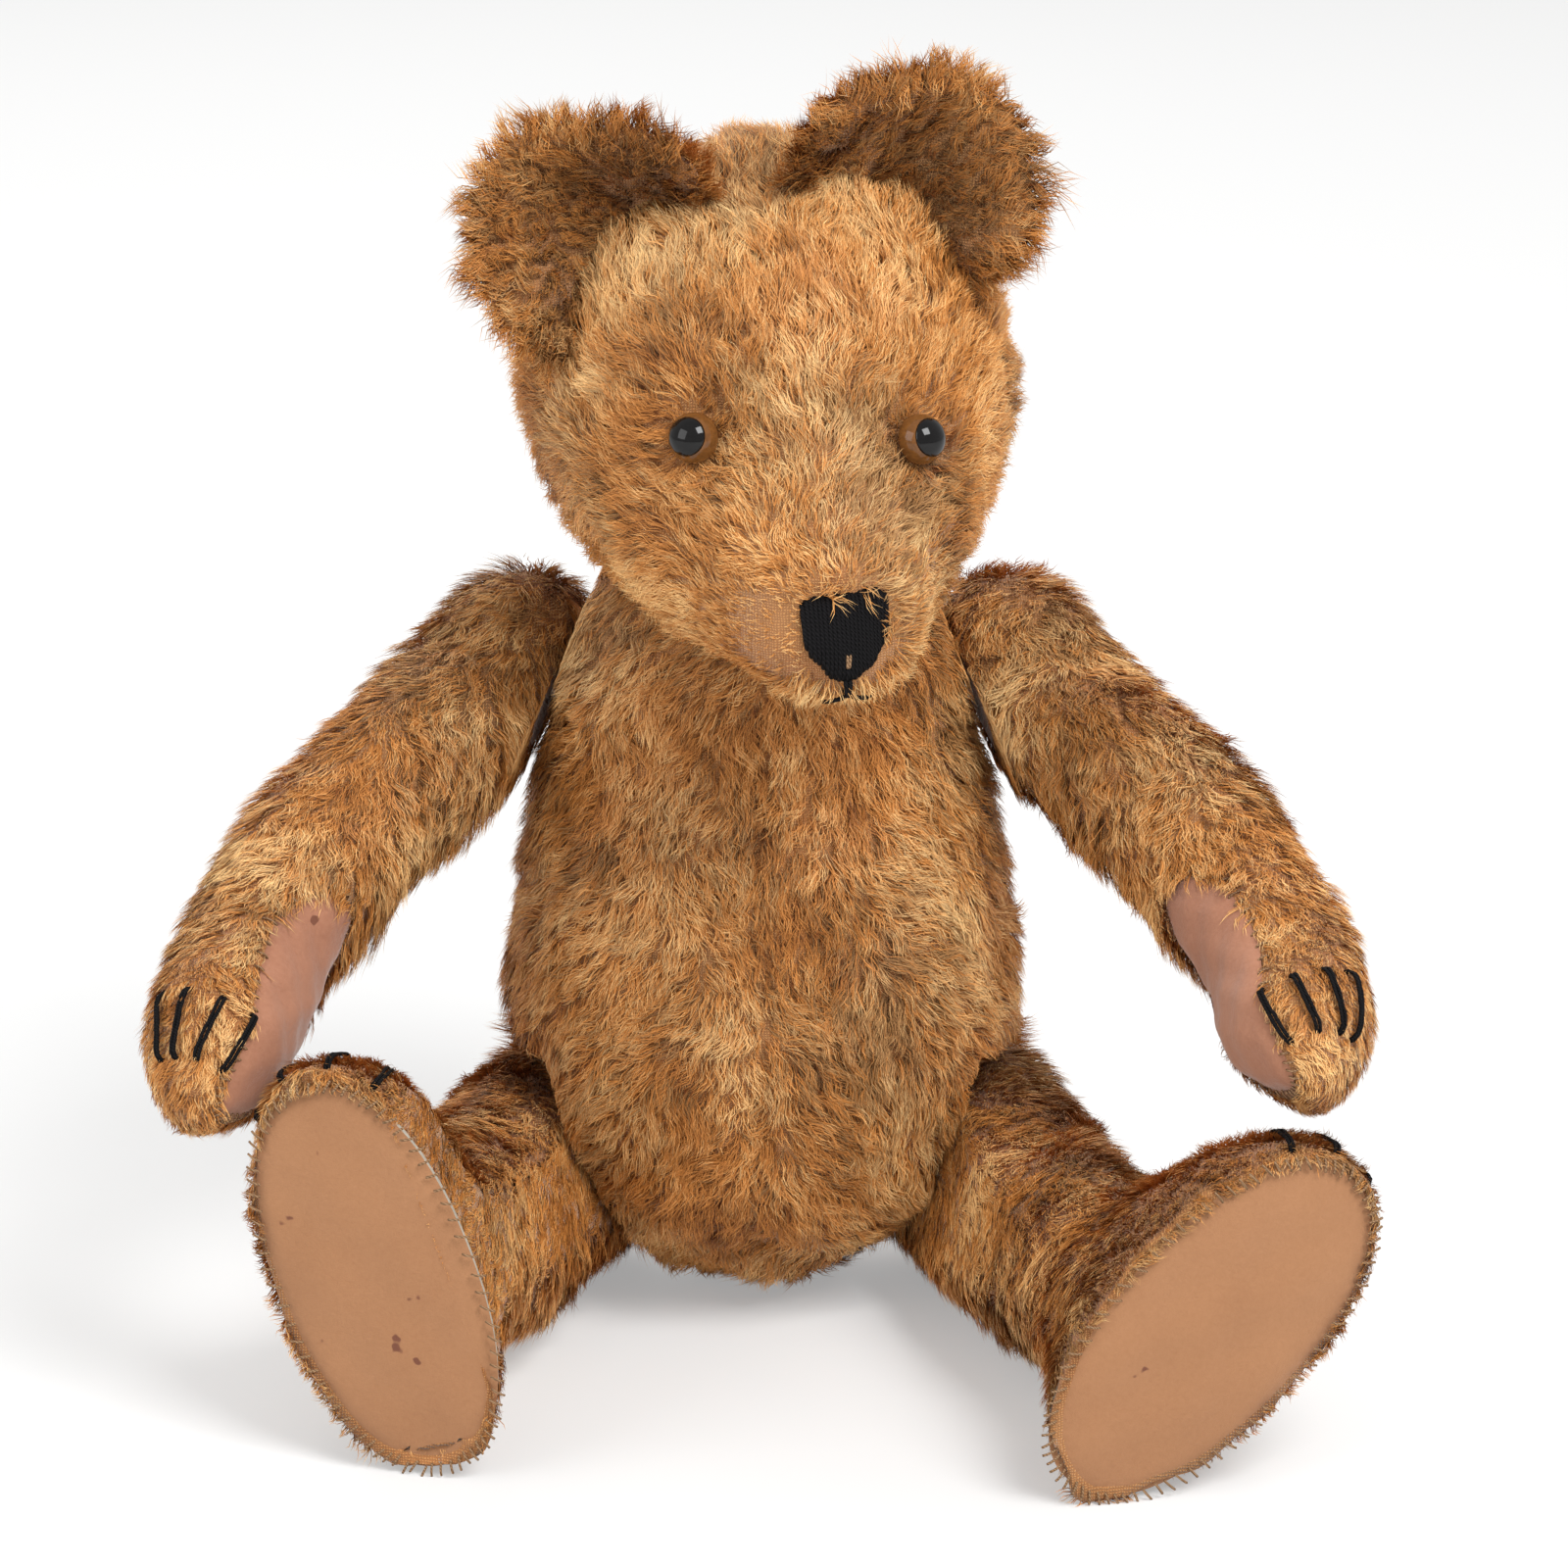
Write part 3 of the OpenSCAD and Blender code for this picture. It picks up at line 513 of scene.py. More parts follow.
def locks(p, size, seed):
    """For each point, the middle and the number of the nearest lock of about this size."""
    cell = np.floor(p / size).astype(np.int64)
    best = np.full(len(p), np.inf)
    middle, number = np.zeros_like(p), np.zeros(len(p), np.int64)
    for step in np.ndindex(3, 3, 3):
        c = cell + np.array(step) - 1
        key = (c[:, 0] * 73856093) ^ (c[:, 1] * 19349663) ^ (c[:, 2] * 83492791) ^ (seed * 7919)
        key &= 0xFFFFFFFF
        q = (c + np.stack([luck(key, n) for n in (1, 2, 3)], axis=1)) * size
        d = ((p - q) ** 2).sum(axis=1)
        near = d < best
        best[near], middle[near], number[near] = d[near], q[near], key[near]
    return middle, number


ROWS = 4


def blades(points, wide, normals, shade, materials, name):
    """One mesh of blades: points is hairs x ROWS x 3, wide the same, shade hairs x ROWS - 1."""
    n = len(points)
    body = ROWS - 1
    verts = np.empty((n, 2 * body + 1, 3), np.float32)
    verts[:, 0:2 * body:2] = points[:, :body] - wide[:, :body]
    verts[:, 1:2 * body:2] = points[:, :body] + wide[:, :body]
    verts[:, 2 * body] = points[:, body]
    start = (np.arange(n) * (2 * body + 1))[:, None]
    quads = []
    for k in range(body - 1):
        quads += [2 * k, 2 * k + 1, 2 * k + 3, 2 * k + 2]
    pattern = np.array(quads + [2 * body - 2, 2 * body - 1, 2 * body])
    loops = (start + pattern[None]).reshape(-1).astype(np.int32)
    sizes = np.tile(np.array([4] * (body - 1) + [3], np.int32), n)
    begins = np.concatenate([[0], np.cumsum(sizes)[:-1]]).astype(np.int32)
    mesh = bpy.data.meshes.new(name)
    mesh.vertices.add(verts.shape[0] * verts.shape[1])
    mesh.vertices.foreach_set("co", (verts * MM).reshape(-1))
    mesh.loops.add(len(loops))
    mesh.loops.foreach_set("vertex_index", loops)
    mesh.polygons.add(len(sizes))
    mesh.polygons.foreach_set("loop_start", begins)
    mesh.polygons.foreach_set("loop_total", sizes)
    used = np.unique(shade)
    for k in used:
        mesh.materials.append(materials[k])
    mesh.polygons.foreach_set("material_index",
                              np.searchsorted(used, shade.reshape(-1)).astype(np.int32))
    mesh.polygons.foreach_set("use_smooth", np.ones(len(sizes), bool))
    mesh.update(calc_edges=True)
    mesh.normals_split_custom_set_from_vertices(np.repeat(normals, 2 * body + 1, axis=0))
    obj = bpy.data.objects.new(name, mesh)
    bpy.context.scene.collection.objects.link(obj)
    return obj


class Pile:
    """Hairs on a skin. look(q, u, a, p) gives, for each root, a dictionary of arrays: cover
    from 0 to 1, length, lift in degrees, flow in the form's own frame, light and grey from
    0 to 1, curl, gather from 0 to 1 and thick in mm."""

    def __init__(self, skin, look, density, lock, seed):
        rng = np.random.default_rng(seed)
        p, n, u, a = skin.roots(rng, density)
        q = local(skin.place, p)
        d = look(q, u, a, p)
        ones = np.ones(len(p))
        d = {k: (v * ones if np.ndim(v) < 2 else v) for k, v in d.items()}
        stays = (rng.uniform(size=len(p)) < d["cover"]) & ~at_joint_disc(p)
        p, n, u, a = p[stays], n[stays], u[stays], a[stays]
        d = {k: v[stays] for k, v in d.items()}
        self.roots, self.q, self.u, self.a = p, q[stays], u, a
        count = len(p)
        middle, number = locks(p, lock, seed)
        big_middle, big = locks(p, lock * 3.2, seed + 1)
        flow = d["flow"] @ skin.place[:3, :3].T
        flow = unit(flow - n * (flow * n).sum(1, keepdims=True))
        side = np.cross(n, flow)
        swerve = (luck(number, 4) - 0.5) * 0.9 + (luck(big, 4) - 0.5) * 0.8
        swerve = swerve + rng.normal(0, 0.13, count)
        flow, side = (flow * np.cos(swerve)[:, None] + side * np.sin(swerve)[:, None],
                      side * np.cos(swerve)[:, None] - flow * np.sin(swerve)[:, None])
        apart = (p - middle) * 0.75 + (p - big_middle) * 0.12
        apart -= n * (apart * n).sum(1, keepdims=True)
        length = d["length"] * (0.75 + 0.35 * luck(number, 5) + 0.25 * luck(big, 5))
        length = length * rng.uniform(0.72, 1.12, count)
        lift = np.radians(d["lift"]) * (0.75 + 0.5 * luck(number, 6))
        lift = lift + rng.normal(0, 0.07, count)
        phase = 2 * np.pi * luck(number, 7) + rng.normal(0, 0.5, count)
        turns = 0.7 + 0.7 * luck(number, 8)
        points = np.empty((count, ROWS, 3))
        points[:, 0] = p - 0.3 * n
        here, clear = p, rng.uniform(0.05, 0.45, count)
        for k in range(1, ROWS):
            t = (k - 0.5) / (ROWS - 1)
            e = lift * (1.15 - 0.75 * t)
            sway = d["curl"] * np.sin(phase + 2 * np.pi * turns * t)
            step = unit(np.cos(e)[:, None] * flow + np.sin(e)[:, None] * n
                        + sway[:, None] * side)
            here = here + step * (length / (ROWS - 1))[:, None]
            pull = d["gather"] * (k / (ROWS - 1)) ** 1.2
            points[:, k] = skin.keep(here - apart * pull[:, None], clear)
        roll = rng.uniform(-0.7, 0.7, count)
        across = unit(side * np.cos(roll)[:, None] + n * np.sin(roll)[:, None])
        facing = unit(np.cross(across, points[:, 2] - points[:, 0]))
        out = np.where((facing * n).sum(1, keepdims=True) < 0, -1, 1)
        across, facing = across * out, facing * out
        self.normals = unit(n + 0.8 * facing + 0.2 * unit(points[:, 3] - points[:, 0]))
        wide = np.empty_like(points)
        for k, w in enumerate((1.0, 1.0, 0.8, 0.2)):
            wide[:, k] = across * (d["thick"] / 2 * w * rng.uniform(0.8, 1.2, count))[:, None]
        light = d["light"] + 0.20 * (luck(number, 9) - 0.5) + 0.14 * (luck(big, 9) - 0.5)
        light = light + rng.normal(0, 0.05, count)
        grey = d["grey"] + 0.4 * (luck(number, 10) - 0.5)
        tone = (rng.uniform(size=count) < grey).astype(int)
        # Each hair is darker at its root and paler at its tip: painted shade deep in the pile and
        # a painted highlight on the tips.
        shade = np.empty((count, ROWS - 1), int)
        for k in range(ROWS - 1):
            t = k / (ROWS - 2)
            v = (light - 0.20 + 0.36 * t) * (SHADES - 1) + rng.uniform(0, 1, count)
            shade[:, k] = np.clip(np.floor(v), 0, SHADES - 1) + SHADES * tone
        self.points, self.wide, self.shade = points, wide, shade

    def build(self, name, body, group=None):
        """One object for each group of roots, such as the panels of a cover."""
        out = []
        group = np.zeros(len(self.roots), int) if group is None else group
        for g in np.unique(group):
            pick = group == g
            label = f"{name}_{g + 1}" if group.max() else name
            obj = blades(self.points[pick], self.wide[pick], self.normals[pick],
                         self.shade[pick], FUR, label)
            out.append(dress(obj, body, "fur"))
        return out


def blend_in(x, low, high):
    """0 below low, 1 above high, smooth between."""
    t = np.clip((x - low) / (high - low), 0, 1)
    return t * t * (3 - 2 * t)


def away(q, spot):
    return unit(q - np.array(spot, float))


def near(q, spot, size):
    """1 at a spot, fading to 0 at size mm from it."""
    d = np.linalg.norm(q - np.array(spot, float), axis=-1)
    return 1 - blend_in(d, 0.45 * size, size)


def down_in(m, q):
    """The direction straight down, in a form's own frame."""
    v = np.linalg.inv(m[:3, :3]) @ np.array([0, 0, -1.0])
    return np.broadcast_to(v, q.shape)


def patches(p, seed):
    """Light and grey values of worn mohair, in broad soft patches."""
    light = 0.50 + 0.13 * waves(p, 38, seed) + 0.08 * waves(p, 13, seed + 1)
    grey = 0.30 + 0.32 * waves(p, 55, seed + 2) + 0.12 * waves(p, 18, seed + 3)
    return light, np.clip(grey, 0.02, 0.95)


# ---- Torso ----

TORSO_H, CHEST_W, CHEST_D, BELLY_W, BELLY_D = JOINTS["neck_turn"][2], 107, 88, 122, 104
TORSO = [
    (0, 3, -0.5, 0, 0, 0),
    (0, 4, 0.12 * TORSO_H, 0.36 * BELLY_W, 0.40 * BELLY_D, 0),
    (0, 0, 0.33 * TORSO_H, 0.50 * BELLY_W, 0.50 * BELLY_D, 0),
    (0, 1, 0.52 * TORSO_H, 0.49 * BELLY_W, 0.48 * BELLY_D, 0),
    (0, 3, 0.72 * TORSO_H, 0.50 * CHEST_W, 0.50 * CHEST_D, 0),
    (0, 5, 0.91 * TORSO_H, 0.44 * CHEST_W, 0.44 * CHEST_D, 0),
    (0, 6, TORSO_H + 12, 0, 0, 0)]


def lumps(seed):
    return lambda flat, u, a: 0.8 * waves(flat, 26, seed)


def seam(at, wide, deep):
    """A groove along a line where at is 0."""
    return -deep * np.exp(-(at / wide) ** 2)


def torso_shape(flat, u, a):
    front = seam(flat[..., 0] + 1.5 * waves(flat, 60, 5), 2.2, 1.5)
    sides = seam(np.abs(flat[..., 1] - 2), 1.8, 0.9)
    ends = blend_in(u, 0.6, 1.4) * (1 - blend_in(u, 4.6, 5.3))
    return (front + sides) * ends + 0.9 * waves(flat, 30, 6)


def torso_look(q, u, a, p):
    light, grey = patches(p, 11)
    front = q[:, 1] < 0
    swirl = waves(p, 45, 12)
    x = q[:, 0] / 40
    flow = np.stack([0.75 * x + 0.55 * swirl, -0.05 * np.ones(len(q)), -1.0 + 0.35 * swirl], 1)
    flow[~front] += np.array([0, 0.1, -0.3])
    # seam_near shortens the pile along the front seam, and it also darkens the hairs there:
    # painted shade in the seam's groove.
    seam_near = np.exp(-(q[:, 0] / 2.5) ** 2) * front * blend_in(q[:, 2], 20, 60)
    worn = blend_in(waves(p, 30, 13), 0.55, 1.1)
    return {"cover": 1 - 0.25 * worn, "length": 7.6 - 2.0 * worn - 2.0 * seam_near,
            "lift": 30 + 9 * waves(p, 25, 14), "flow": flow, "light": light - 0.12 * seam_near,
            "grey": grey, "curl": 0.5, "gather": 0.62, "thick": 0.21}


# ---- Head ----

SKULL_BACK, TIP, HEAD_W, HEAD_H, MUZZLE_W, MUZZLE_H = 54, 92, 112, 112, 52, 46
HEAD = [
    (0, SKULL_BACK, 6, 0, 0, 0),
    (0, 0.66 * SKULL_BACK, 4, 0.38 * HEAD_W, 0.39 * HEAD_H, 0),
    (0, 0.20 * SKULL_BACK, 1, 0.50 * HEAD_W, 0.50 * HEAD_H, 0),
    (0, -0.35 * SKULL_BACK, -2, 0.48 * HEAD_W, 0.47 * HEAD_H, 0),
    (0, -0.85 * SKULL_BACK, -8, 0.38 * HEAD_W, 0.37 * HEAD_H, 0),
    (0, -0.76 * TIP, -11, 0.52 * MUZZLE_W, 0.52 * MUZZLE_H, 0),
    (0, -0.93 * TIP, -11, 0.36 * MUZZLE_W, 0.36 * MUZZLE_H, 0),
    (0, -TIP, -10, 0, 0, 0)]
EYE_D, EYE_GAP = 11, 50
EYE_SINK = 0.15 * EYE_D
NOSE_UP, NOSE_SIDE, NOSE_W, NOSE_H = -8, 2.5, 19, 20


def eye_frame(side):
    """At an eye's middle, +Z out of the face, in the head's frame."""
    half = 0.5 * EYE_GAP
    u = 4.2 + side * 0.08
    width = math.sqrt(smooth(squared(HEAD), np.array(u))[3])
    a = math.radians(90 + side * (90 - math.degrees(math.acos(half / width))))

    def at(du, da):
        return on_form(HEAD, np.array([u + du]), np.array([a + math.radians(da)]), [0, 0, 1])[0]

    here = at(0, 0)
    z = unit(np.cross(at(0.02, 0) - here, at(0, 1) - here))
    up = unit(np.array([0, 0, 1.0]) - z * z[2])
    m = np.eye(4)
    m[:3, 0], m[:3, 1], m[:3, 2] = np.cross(up, z), up, z
    m[:3, 3] = here - z * EYE_SINK
    return m


def head_lay(u):
    return -UNDER + 2.6 * blend_in(u, 4.3, 5.4)


def head_shape(flat, u, a):
    face = blend_in(u, 2.6, 3.4) * (1 - blend_in(u, 6.2, 6.8))
    x, z = flat[..., 0], flat[..., 2]
    gusset = seam(np.abs(x) - 15 - 6 * blend_in(-flat[..., 1], 10, 70), 1.8, 1.0) * (z > 0)
    bridge = 1.6 * np.exp(-(x / 9) ** 2) * blend_in(z, -4, 12) * face
    sockets = 0
    for side in (1, -1):
        d = np.linalg.norm(flat - eye_frame(side)[:3, 3], axis=-1)
        sockets = sockets - 0.8 * np.exp(-(d / 8.5) ** 2)
    return gusset * blend_in(u, 1, 2) + bridge + sockets + 0.8 * waves(flat, 28, 26)


BALD = (-12, -86, -7)


def head_look(q, u, a, p):
    light, grey = patches(p, 21)
    x, y, z = q.T
    muzzle = blend_in(u, 4.45, 5.3)
    cheek = blend_in(np.abs(x), 18, 40) * blend_in(-z, -20, 10)
    flow = away(q, (0, -97, -9)) * np.array([1.15, 1, 1])
    flow = flow + np.stack([0 * x, 0 * x, -1.1 * cheek + 0.5 * (z > 20)], 1)
    sway = waves(p, 24, 22)
    flow = flow + 0.4 * np.stack([sway, 0 * x, waves(p, 24, 23)], 1)
    length = 7.8 - 3.4 * muzzle
    cover, lift = np.ones(len(q)), 34 - 10 * muzzle + 8 * waves(p, 18, 24)
    for side in (1, -1):
        e = eye_frame(side)[:3, 3]
        d = np.linalg.norm(q - e, axis=1)
        cover[d < 5.0] = 0
        ring = 1 - blend_in(d, 6, 14)
        length = length * (1 - 0.35 * ring)
        lift = lift + 28 * ring
        flow = unit(flow) * (1 - ring)[:, None] + 0.8 * away(q, e) * ring[:, None]
        brow = near(q, e + np.array([-9 * side, -4, 11]), 14)
        light = light - 0.22 * brow - 0.10 * ring
        grey = grey + 0.35 * brow
    nx, nz = np.abs(x - NOSE_SIDE) / (NOSE_W / 2), (z - NOSE_UP) / (NOSE_H / 2)
    out = np.maximum(nx, np.abs(nz)) * (y < -70) + 9 * (y >= -70)
    cover[(out < 0.88) & (nx < 1.1 - 0.5 * blend_in(-nz, 0.1, 1))] = 0
    rim = (1 - blend_in(out, 0.95, 1.5)) * (y < -70)
    length = length + 1.6 * rim
    lift = lift + 26 * rim
    flow = unit(flow) + 0.9 * np.stack([waves(p, 5, 27), 0 * x, waves(p, 5, 28)], 1) \
        * rim[:, None]
    bald = near(q, BALD, 13)
    worn = np.maximum(bald, 0.4 * blend_in(waves(p, 24, 25), 0.6, 1.2) * muzzle)
    cover = cover * (1 - 0.72 * bald)
    length = length * (1 - 0.6 * worn)
    # Painted light: paler towards the top of the head. Painted shade: darker on the lower cheeks.
    # The muzzle is made paler as well.
    light = light + 0.09 * blend_in(z, 0, 40) - 0.10 * cheek + 0.10 * muzzle
    return {"cover": cover, "length": length, "lift": lift, "flow": flow, "light": light,
            "grey": grey, "curl": 0.5 - 0.2 * muzzle, "gather": 0.62 - 0.3 * muzzle,
            "thick": 0.20}


# ---- Ears ----

EAR_W, EAR_H, EAR_T, EAR_ROOT = 44, 38, 12, 49
EAR_LEAN = {1: 33, -1: 43}


def ear_ring(across, height):
    half = (height * EAR_H - EAR_T) / 2
    thick = EAR_T / 2 if height > 0 else 0
    tall = (height * EAR_H + EAR_T) / 2 if height > 0 else 0
    return (across * EAR_W, -52 * across ** 2, half, thick, tall, 0)


EAR = [ear_ring(*r) for r in ((-0.5, 0), (-0.34, 0.72), (0, 1), (0.34, 0.72), (0.5, 0))]


def at_ear(side):
    place = move(0, 2, EAR_ROOT) @ turn("Z", -12)
    return at_head() @ mirror(side) @ turn("Y", EAR_LEAN[side]) @ place


def ear_shape(seed):
    def shape(flat, u, a):
        front = np.clip(np.cos(a), 0, 1)
        hollow = -2.6 * front ** 2 * np.exp(-(flat[..., 0] / 15) ** 2)
        return hollow + 0.9 * waves(flat, 16, seed)
    return shape


def ear_look(seed):
    def look(q, u, a, p):
        light, grey = patches(p, seed)
        front = blend_in(np.cos(a), 0.0, 0.6)
        rim = np.exp(-((np.sin(a) - 1) / 0.45) ** 2)
        edge = np.maximum(rim, blend_in(np.abs(q[:, 0]), 15, 22))
        flow = away(q, (0, 0, -14))
        flow = flow + np.stack([0 * u, -0.5 * edge + 0.2 * waves(p, 12, seed + 5),
                                -0.25 * edge], 1)
        length = 6.0 + 2.6 * edge * (0.7 + 0.8 * waves(p, 9, seed + 6))
        # Darker on the ear's front, less so towards the rim: painted shade in the front hollow.
        light = light - 0.30 * front * (1 - 0.7 * edge)
        return {"cover": 1.0, "length": length,
                "lift": 42 - 6 * edge, "flow": flow, "light": light,
                "grey": grey * 0.7 + 0.25 * front, "curl": 0.65, "gather": 0.7, "thick": 0.21}
    return look


# ---- Arms ----

ARM = [
    (-0.203 * ARM_LEN, -2, 0.35 * ARM_OUT, 0, 0, 0),
    (-0.084 * ARM_LEN, 0, 0.55 * ARM_OUT, 0.44 * ARM_W, 0.46 * ARM_W, 0),
    (0.14 * ARM_LEN, 2, 0.95 * ARM_OUT, 0.49 * ARM_W, 0.51 * ARM_W, 0),
    (0.42 * ARM_LEN, 3, 1.55 * ARM_OUT, 0.48 * ARM_W, 0.49 * ARM_W, 0),
    (0.70 * ARM_LEN, 1, 1.75 * ARM_OUT, 0.52 * WRIST_W, 0.53 * WRIST_W, 0),
    (ARM_LEN - 18, -3, 1.60 * ARM_OUT, 0.46 * WRIST_W, 0.54 * WRIST_W, 0),
    (ARM_LEN, -7, 1.45 * ARM_OUT, 0, 0, 0)]
PAD_LEN, PAD_W, PAD_TO_TIP, PAW_UP, PAW_MIDDLE, PALM_TURN = 60, 24, 5, 2, 1.66 * ARM_OUT, 28


def at_palm(side):
    place = move(ARM_LEN - PAD_LEN / 2 - PAD_TO_TIP, -PAW_UP, PAW_MIDDLE)
    return at_arm(side) @ place @ turn("X", 180 - PALM_TURN)


def arm_lay(u):
    return -UNDER + 1.6 * blend_in(u, 3.4, 5)


def in_pad(side, p, grow):
    q = local(at_palm(side), p)
    a, b = PAD_LEN / 2 + grow, PAD_W / 2 + grow
    r = (np.abs(q[:, 0]) / a) ** 2.2 + (np.abs(q[:, 1]) / b) ** 2.2
    return (r < 1) & (q[:, 2] > 0)


def arm_look(side):
    def look(q, u, a, p):
        light, grey = patches(p, 31 + side)
        paw = blend_in(u, 3.5, 5.0)
        worn = 0.6 if side > 0 else 0.15
        flow = np.array([1.0, 0, 0]) + 0.75 * down_in(at_arm(side), q)
        flow = flow + 0.4 * np.stack([0 * u, waves(p, 24, 33), waves(p, 24, 34)], 1)
        tip = blend_in(u, 5.2, 5.9)
        flow = flow - tip[:, None] * np.array([0.8, 0, 0])
        cover = np.where(in_pad(side, p, 0.2), 0.0, 1.0)
        inner = near(q, (62, 22, 18), 24) if side < 0 else 0
        length = 7.6 - (3.0 + 1.2 * worn) * paw + 4.0 * inner
        return {"cover": cover, "length": length, "lift": 29 - 4 * paw + 8 * waves(p, 20, 35),
                "flow": flow, "light": light + 0.07 + 0.13 * paw * worn,
                "grey": grey * (1 - 0.5 * paw), "curl": 0.5, "gather": 0.62 - 0.25 * paw * worn,
                "thick": 0.21}
    return look


# ---- Legs ----


def leg_stations(side):
    lift, out, roll, length = foot_lift(side), foot_out(side), FOOT_ROLL[side], LEG_LEN[side]
    half_w, half_l = FOOT_W / 2, FOOT_LEN / 2
    return [
        (-30, 0, 0.75 * LEG_OUT, 0, 0, 0),
        (-13, 0, 0.92 * LEG_OUT, 0.44 * THIGH_W, 0.46 * THIGH_W, 0),
        (20, 0, LEG_OUT, 0.47 * THIGH_W, 0.50 * THIGH_W, 0),
        (0.44 * length, -0.1 * lift, LEG_OUT, 0.43 * THIGH_W, 0.46 * THIGH_W, 0.2 * roll),
        (0.74 * length, -0.5 * lift, (LEG_OUT + out) / 2, 0.50 * ANKLE_W, 0.62 * ANKLE_W,
         0.7 * roll),
        (length - 8, -lift, out, half_w, half_l, roll),
        (length + 16, -lift, out, half_w, half_l, roll)]


def leg_lay(u):
    return -UNDER + 3.3 * blend_in(u, 3.8, 4.9)


def leg_look(side):
    def look(q, u, a, p):
        light, grey = patches(p, 41 + side)
        foot = blend_in(u, 3.6, 4.9)
        flow = np.array([1.0, 0, 0]) + 0.8 * down_in(at_hip(side), q) * (1 - 0.6 * foot)[:, None]
        flow = flow + 0.4 * np.stack([0 * u, waves(p, 26, 43), waves(p, 26, 44)], 1)
        s = local(at_sole(side), p)
        inner = np.hypot(s[:, 0] / (FOOT_W / 2 - 1.5), s[:, 1] / (FOOT_LEN / 2 - 1.5)) < 1
        cover = np.where((s[:, 2] > -0.9) | (inner & (s[:, 2] > -3.5)), 0.0, 1.0)
        heel = near(s, (-20 * side, 30, -2), 16) if side > 0 else 0
        length = 7.6 - 2.8 * foot - 2 * heel
        return {"cover": cover * (1 - 0.75 * heel), "length": length,
                "lift": 30 + 6 * foot + 8 * waves(p, 20, 45), "flow": flow,
                "light": light + 0.02, "grey": grey, "curl": 0.5,
                "gather": 0.62 - 0.12 * foot, "thick": 0.21}
    return look


# ---- Felt pads ----


def dome_faces(rings, sides):
    """Faces of rings of points that close on one last point."""
    faces = []
    for k in range(rings):
        for j in range(sides):
            a, b = k * sides + j, k * sides + (j + 1) % sides
            faces.append((a, b, b + sides, a + sides) if k < rings - 1 else (a, b, rings * sides))
    return faces


def dome_patch(outline, height, rings=14):
    """Points and faces of a patch: height(x, y, edge) is z, and edge is 1 at the outline."""
    points = []
    for k in range(rings + 1):
        f = k / rings
        ring = outline * (1 - f) if k < rings else outline[:1] * 0
        points += [(x, y, height(x, y, 1 - f)) for x, y in ring]
    return np.array(points), dome_faces(rings, len(outline))


def oval(a, b, count, power=0.9):
    t = 2 * np.pi * np.arange(count) / count
    x = a * np.sign(np.cos(t)) * np.abs(np.cos(t)) ** power
    y = b * np.sign(np.sin(t)) * np.abs(np.sin(t)) ** power
    return np.stack([x, y], axis=1)


def tube(path, radius, sides=8):
    """Points and faces of a round thread along a path, closed at its ends."""
    path = np.asarray(path, float)
    n = len(path)
    ahead = np.vstack([path[1:], path[-1:]])
    behind = np.vstack([path[:1], path[:-1]])
    along = unit(ahead - behind)
    ref = np.array([0.31, 0.52, 0.79])
    side = unit(np.cross(along, ref))
    up = np.cross(side, along)
    r = np.broadcast_to(radius, (n,)).astype(float).copy()
    t = 2 * np.pi * np.arange(sides) / sides
    ring = np.cos(t)[None, :, None] * side[:, None] + np.sin(t)[None, :, None] * up[:, None]
    points = (path[:, None] + ring * r[:, None, None]).reshape(-1, 3)
    faces = []
    for i in range(n - 1):
        for j in range(sides):
            k = (j + 1) % sides
            a, b = i * sides, (i + 1) * sides
            faces.append((a + j, a + k, b + k, b + j))
    faces.append(tuple(range(sides))[::-1])
    faces.append(tuple(range((n - 1) * sides, n * sides)))
    return points, faces


def gathered(name, parts, material):
    """One object from several lots of points and faces. None is passed over."""
    points, faces, start = [], [], 0
    for p, f in filter(None, parts):
        points.append(p)
        faces += [tuple(i + start for i in face) for face in f]
        start += len(p)
    return mesh_object(name, np.concatenate(points), faces, material)


def sole_felt(side):
    """The felt of a sole, slightly domed and mottled, turned in at its rim."""
    outline = oval(FOOT_W / 2 - 2.6, FOOT_LEN / 2 - 2.6, 96)

    def height(x, y, edge):
        dome = 1.0 * (1 - edge ** 2) + 0.35 * math.sin(x * 0.31 + side) * math.sin(y * 0.17 + 2)
        return -0.7 + dome * (1 - edge ** 6) - 1.0 * edge ** 14

    points, faces = dome_patch(outline, height)
    obj = mesh_object(f"{NAMES[side]}_sole_felt", apply(at_sole(side), points), faces, SOLE_FELT)
    body = f"{NAMES[side]}_leg"
    dress(obj, body, "sole_felt", f"{NAMES[side]}_sole_pad")
    stitches = []
    count = 78
    ring = oval(FOOT_W / 2 - 2.2, FOOT_LEN / 2 - 2.2, count * 2)
    rng = np.random.default_rng(60 + side)
    for k in range(count):
        x, y = ring[2 * k] * (1 + rng.normal(0, 0.006))
        out = unit(np.array([x / (FOOT_W / 2) ** 2, y / (FOOT_LEN / 2) ** 2, 0]))
        slant = np.array([-out[1], out[0], 0]) * rng.uniform(0.2, 0.8)
        mid = np.array([x, y, -0.25])
        t = np.linspace(-1, 1, 7)[:, None]
        path = mid + out * 1.5 * t + slant * t + np.array([0, 0, 0.45]) * (1 - t ** 2)
        stitches.append(tube(apply(at_sole(side), path), 0.28, 6))
    thread = gathered(f"{NAMES[side]}_sole_stitches", stitches, TAN_THREAD)
    dress(thread, body, "thread")


def on_skin(tree, m, x, y, lift, top=150):
    """The point of a skin under (x, y) of frame m, looking back along its +Z."""
    start = apply(m, np.array([x, y, top], float))
    down = -m[:3, 2]
    hit, normal, _, _ = tree.ray_cast(Vector(start), Vector(down))
    if hit is None:
        return None
    n = np.array(normal)
    n = n * (1 if n @ down < 0 else -1)
    return np.array(hit) + n * lift


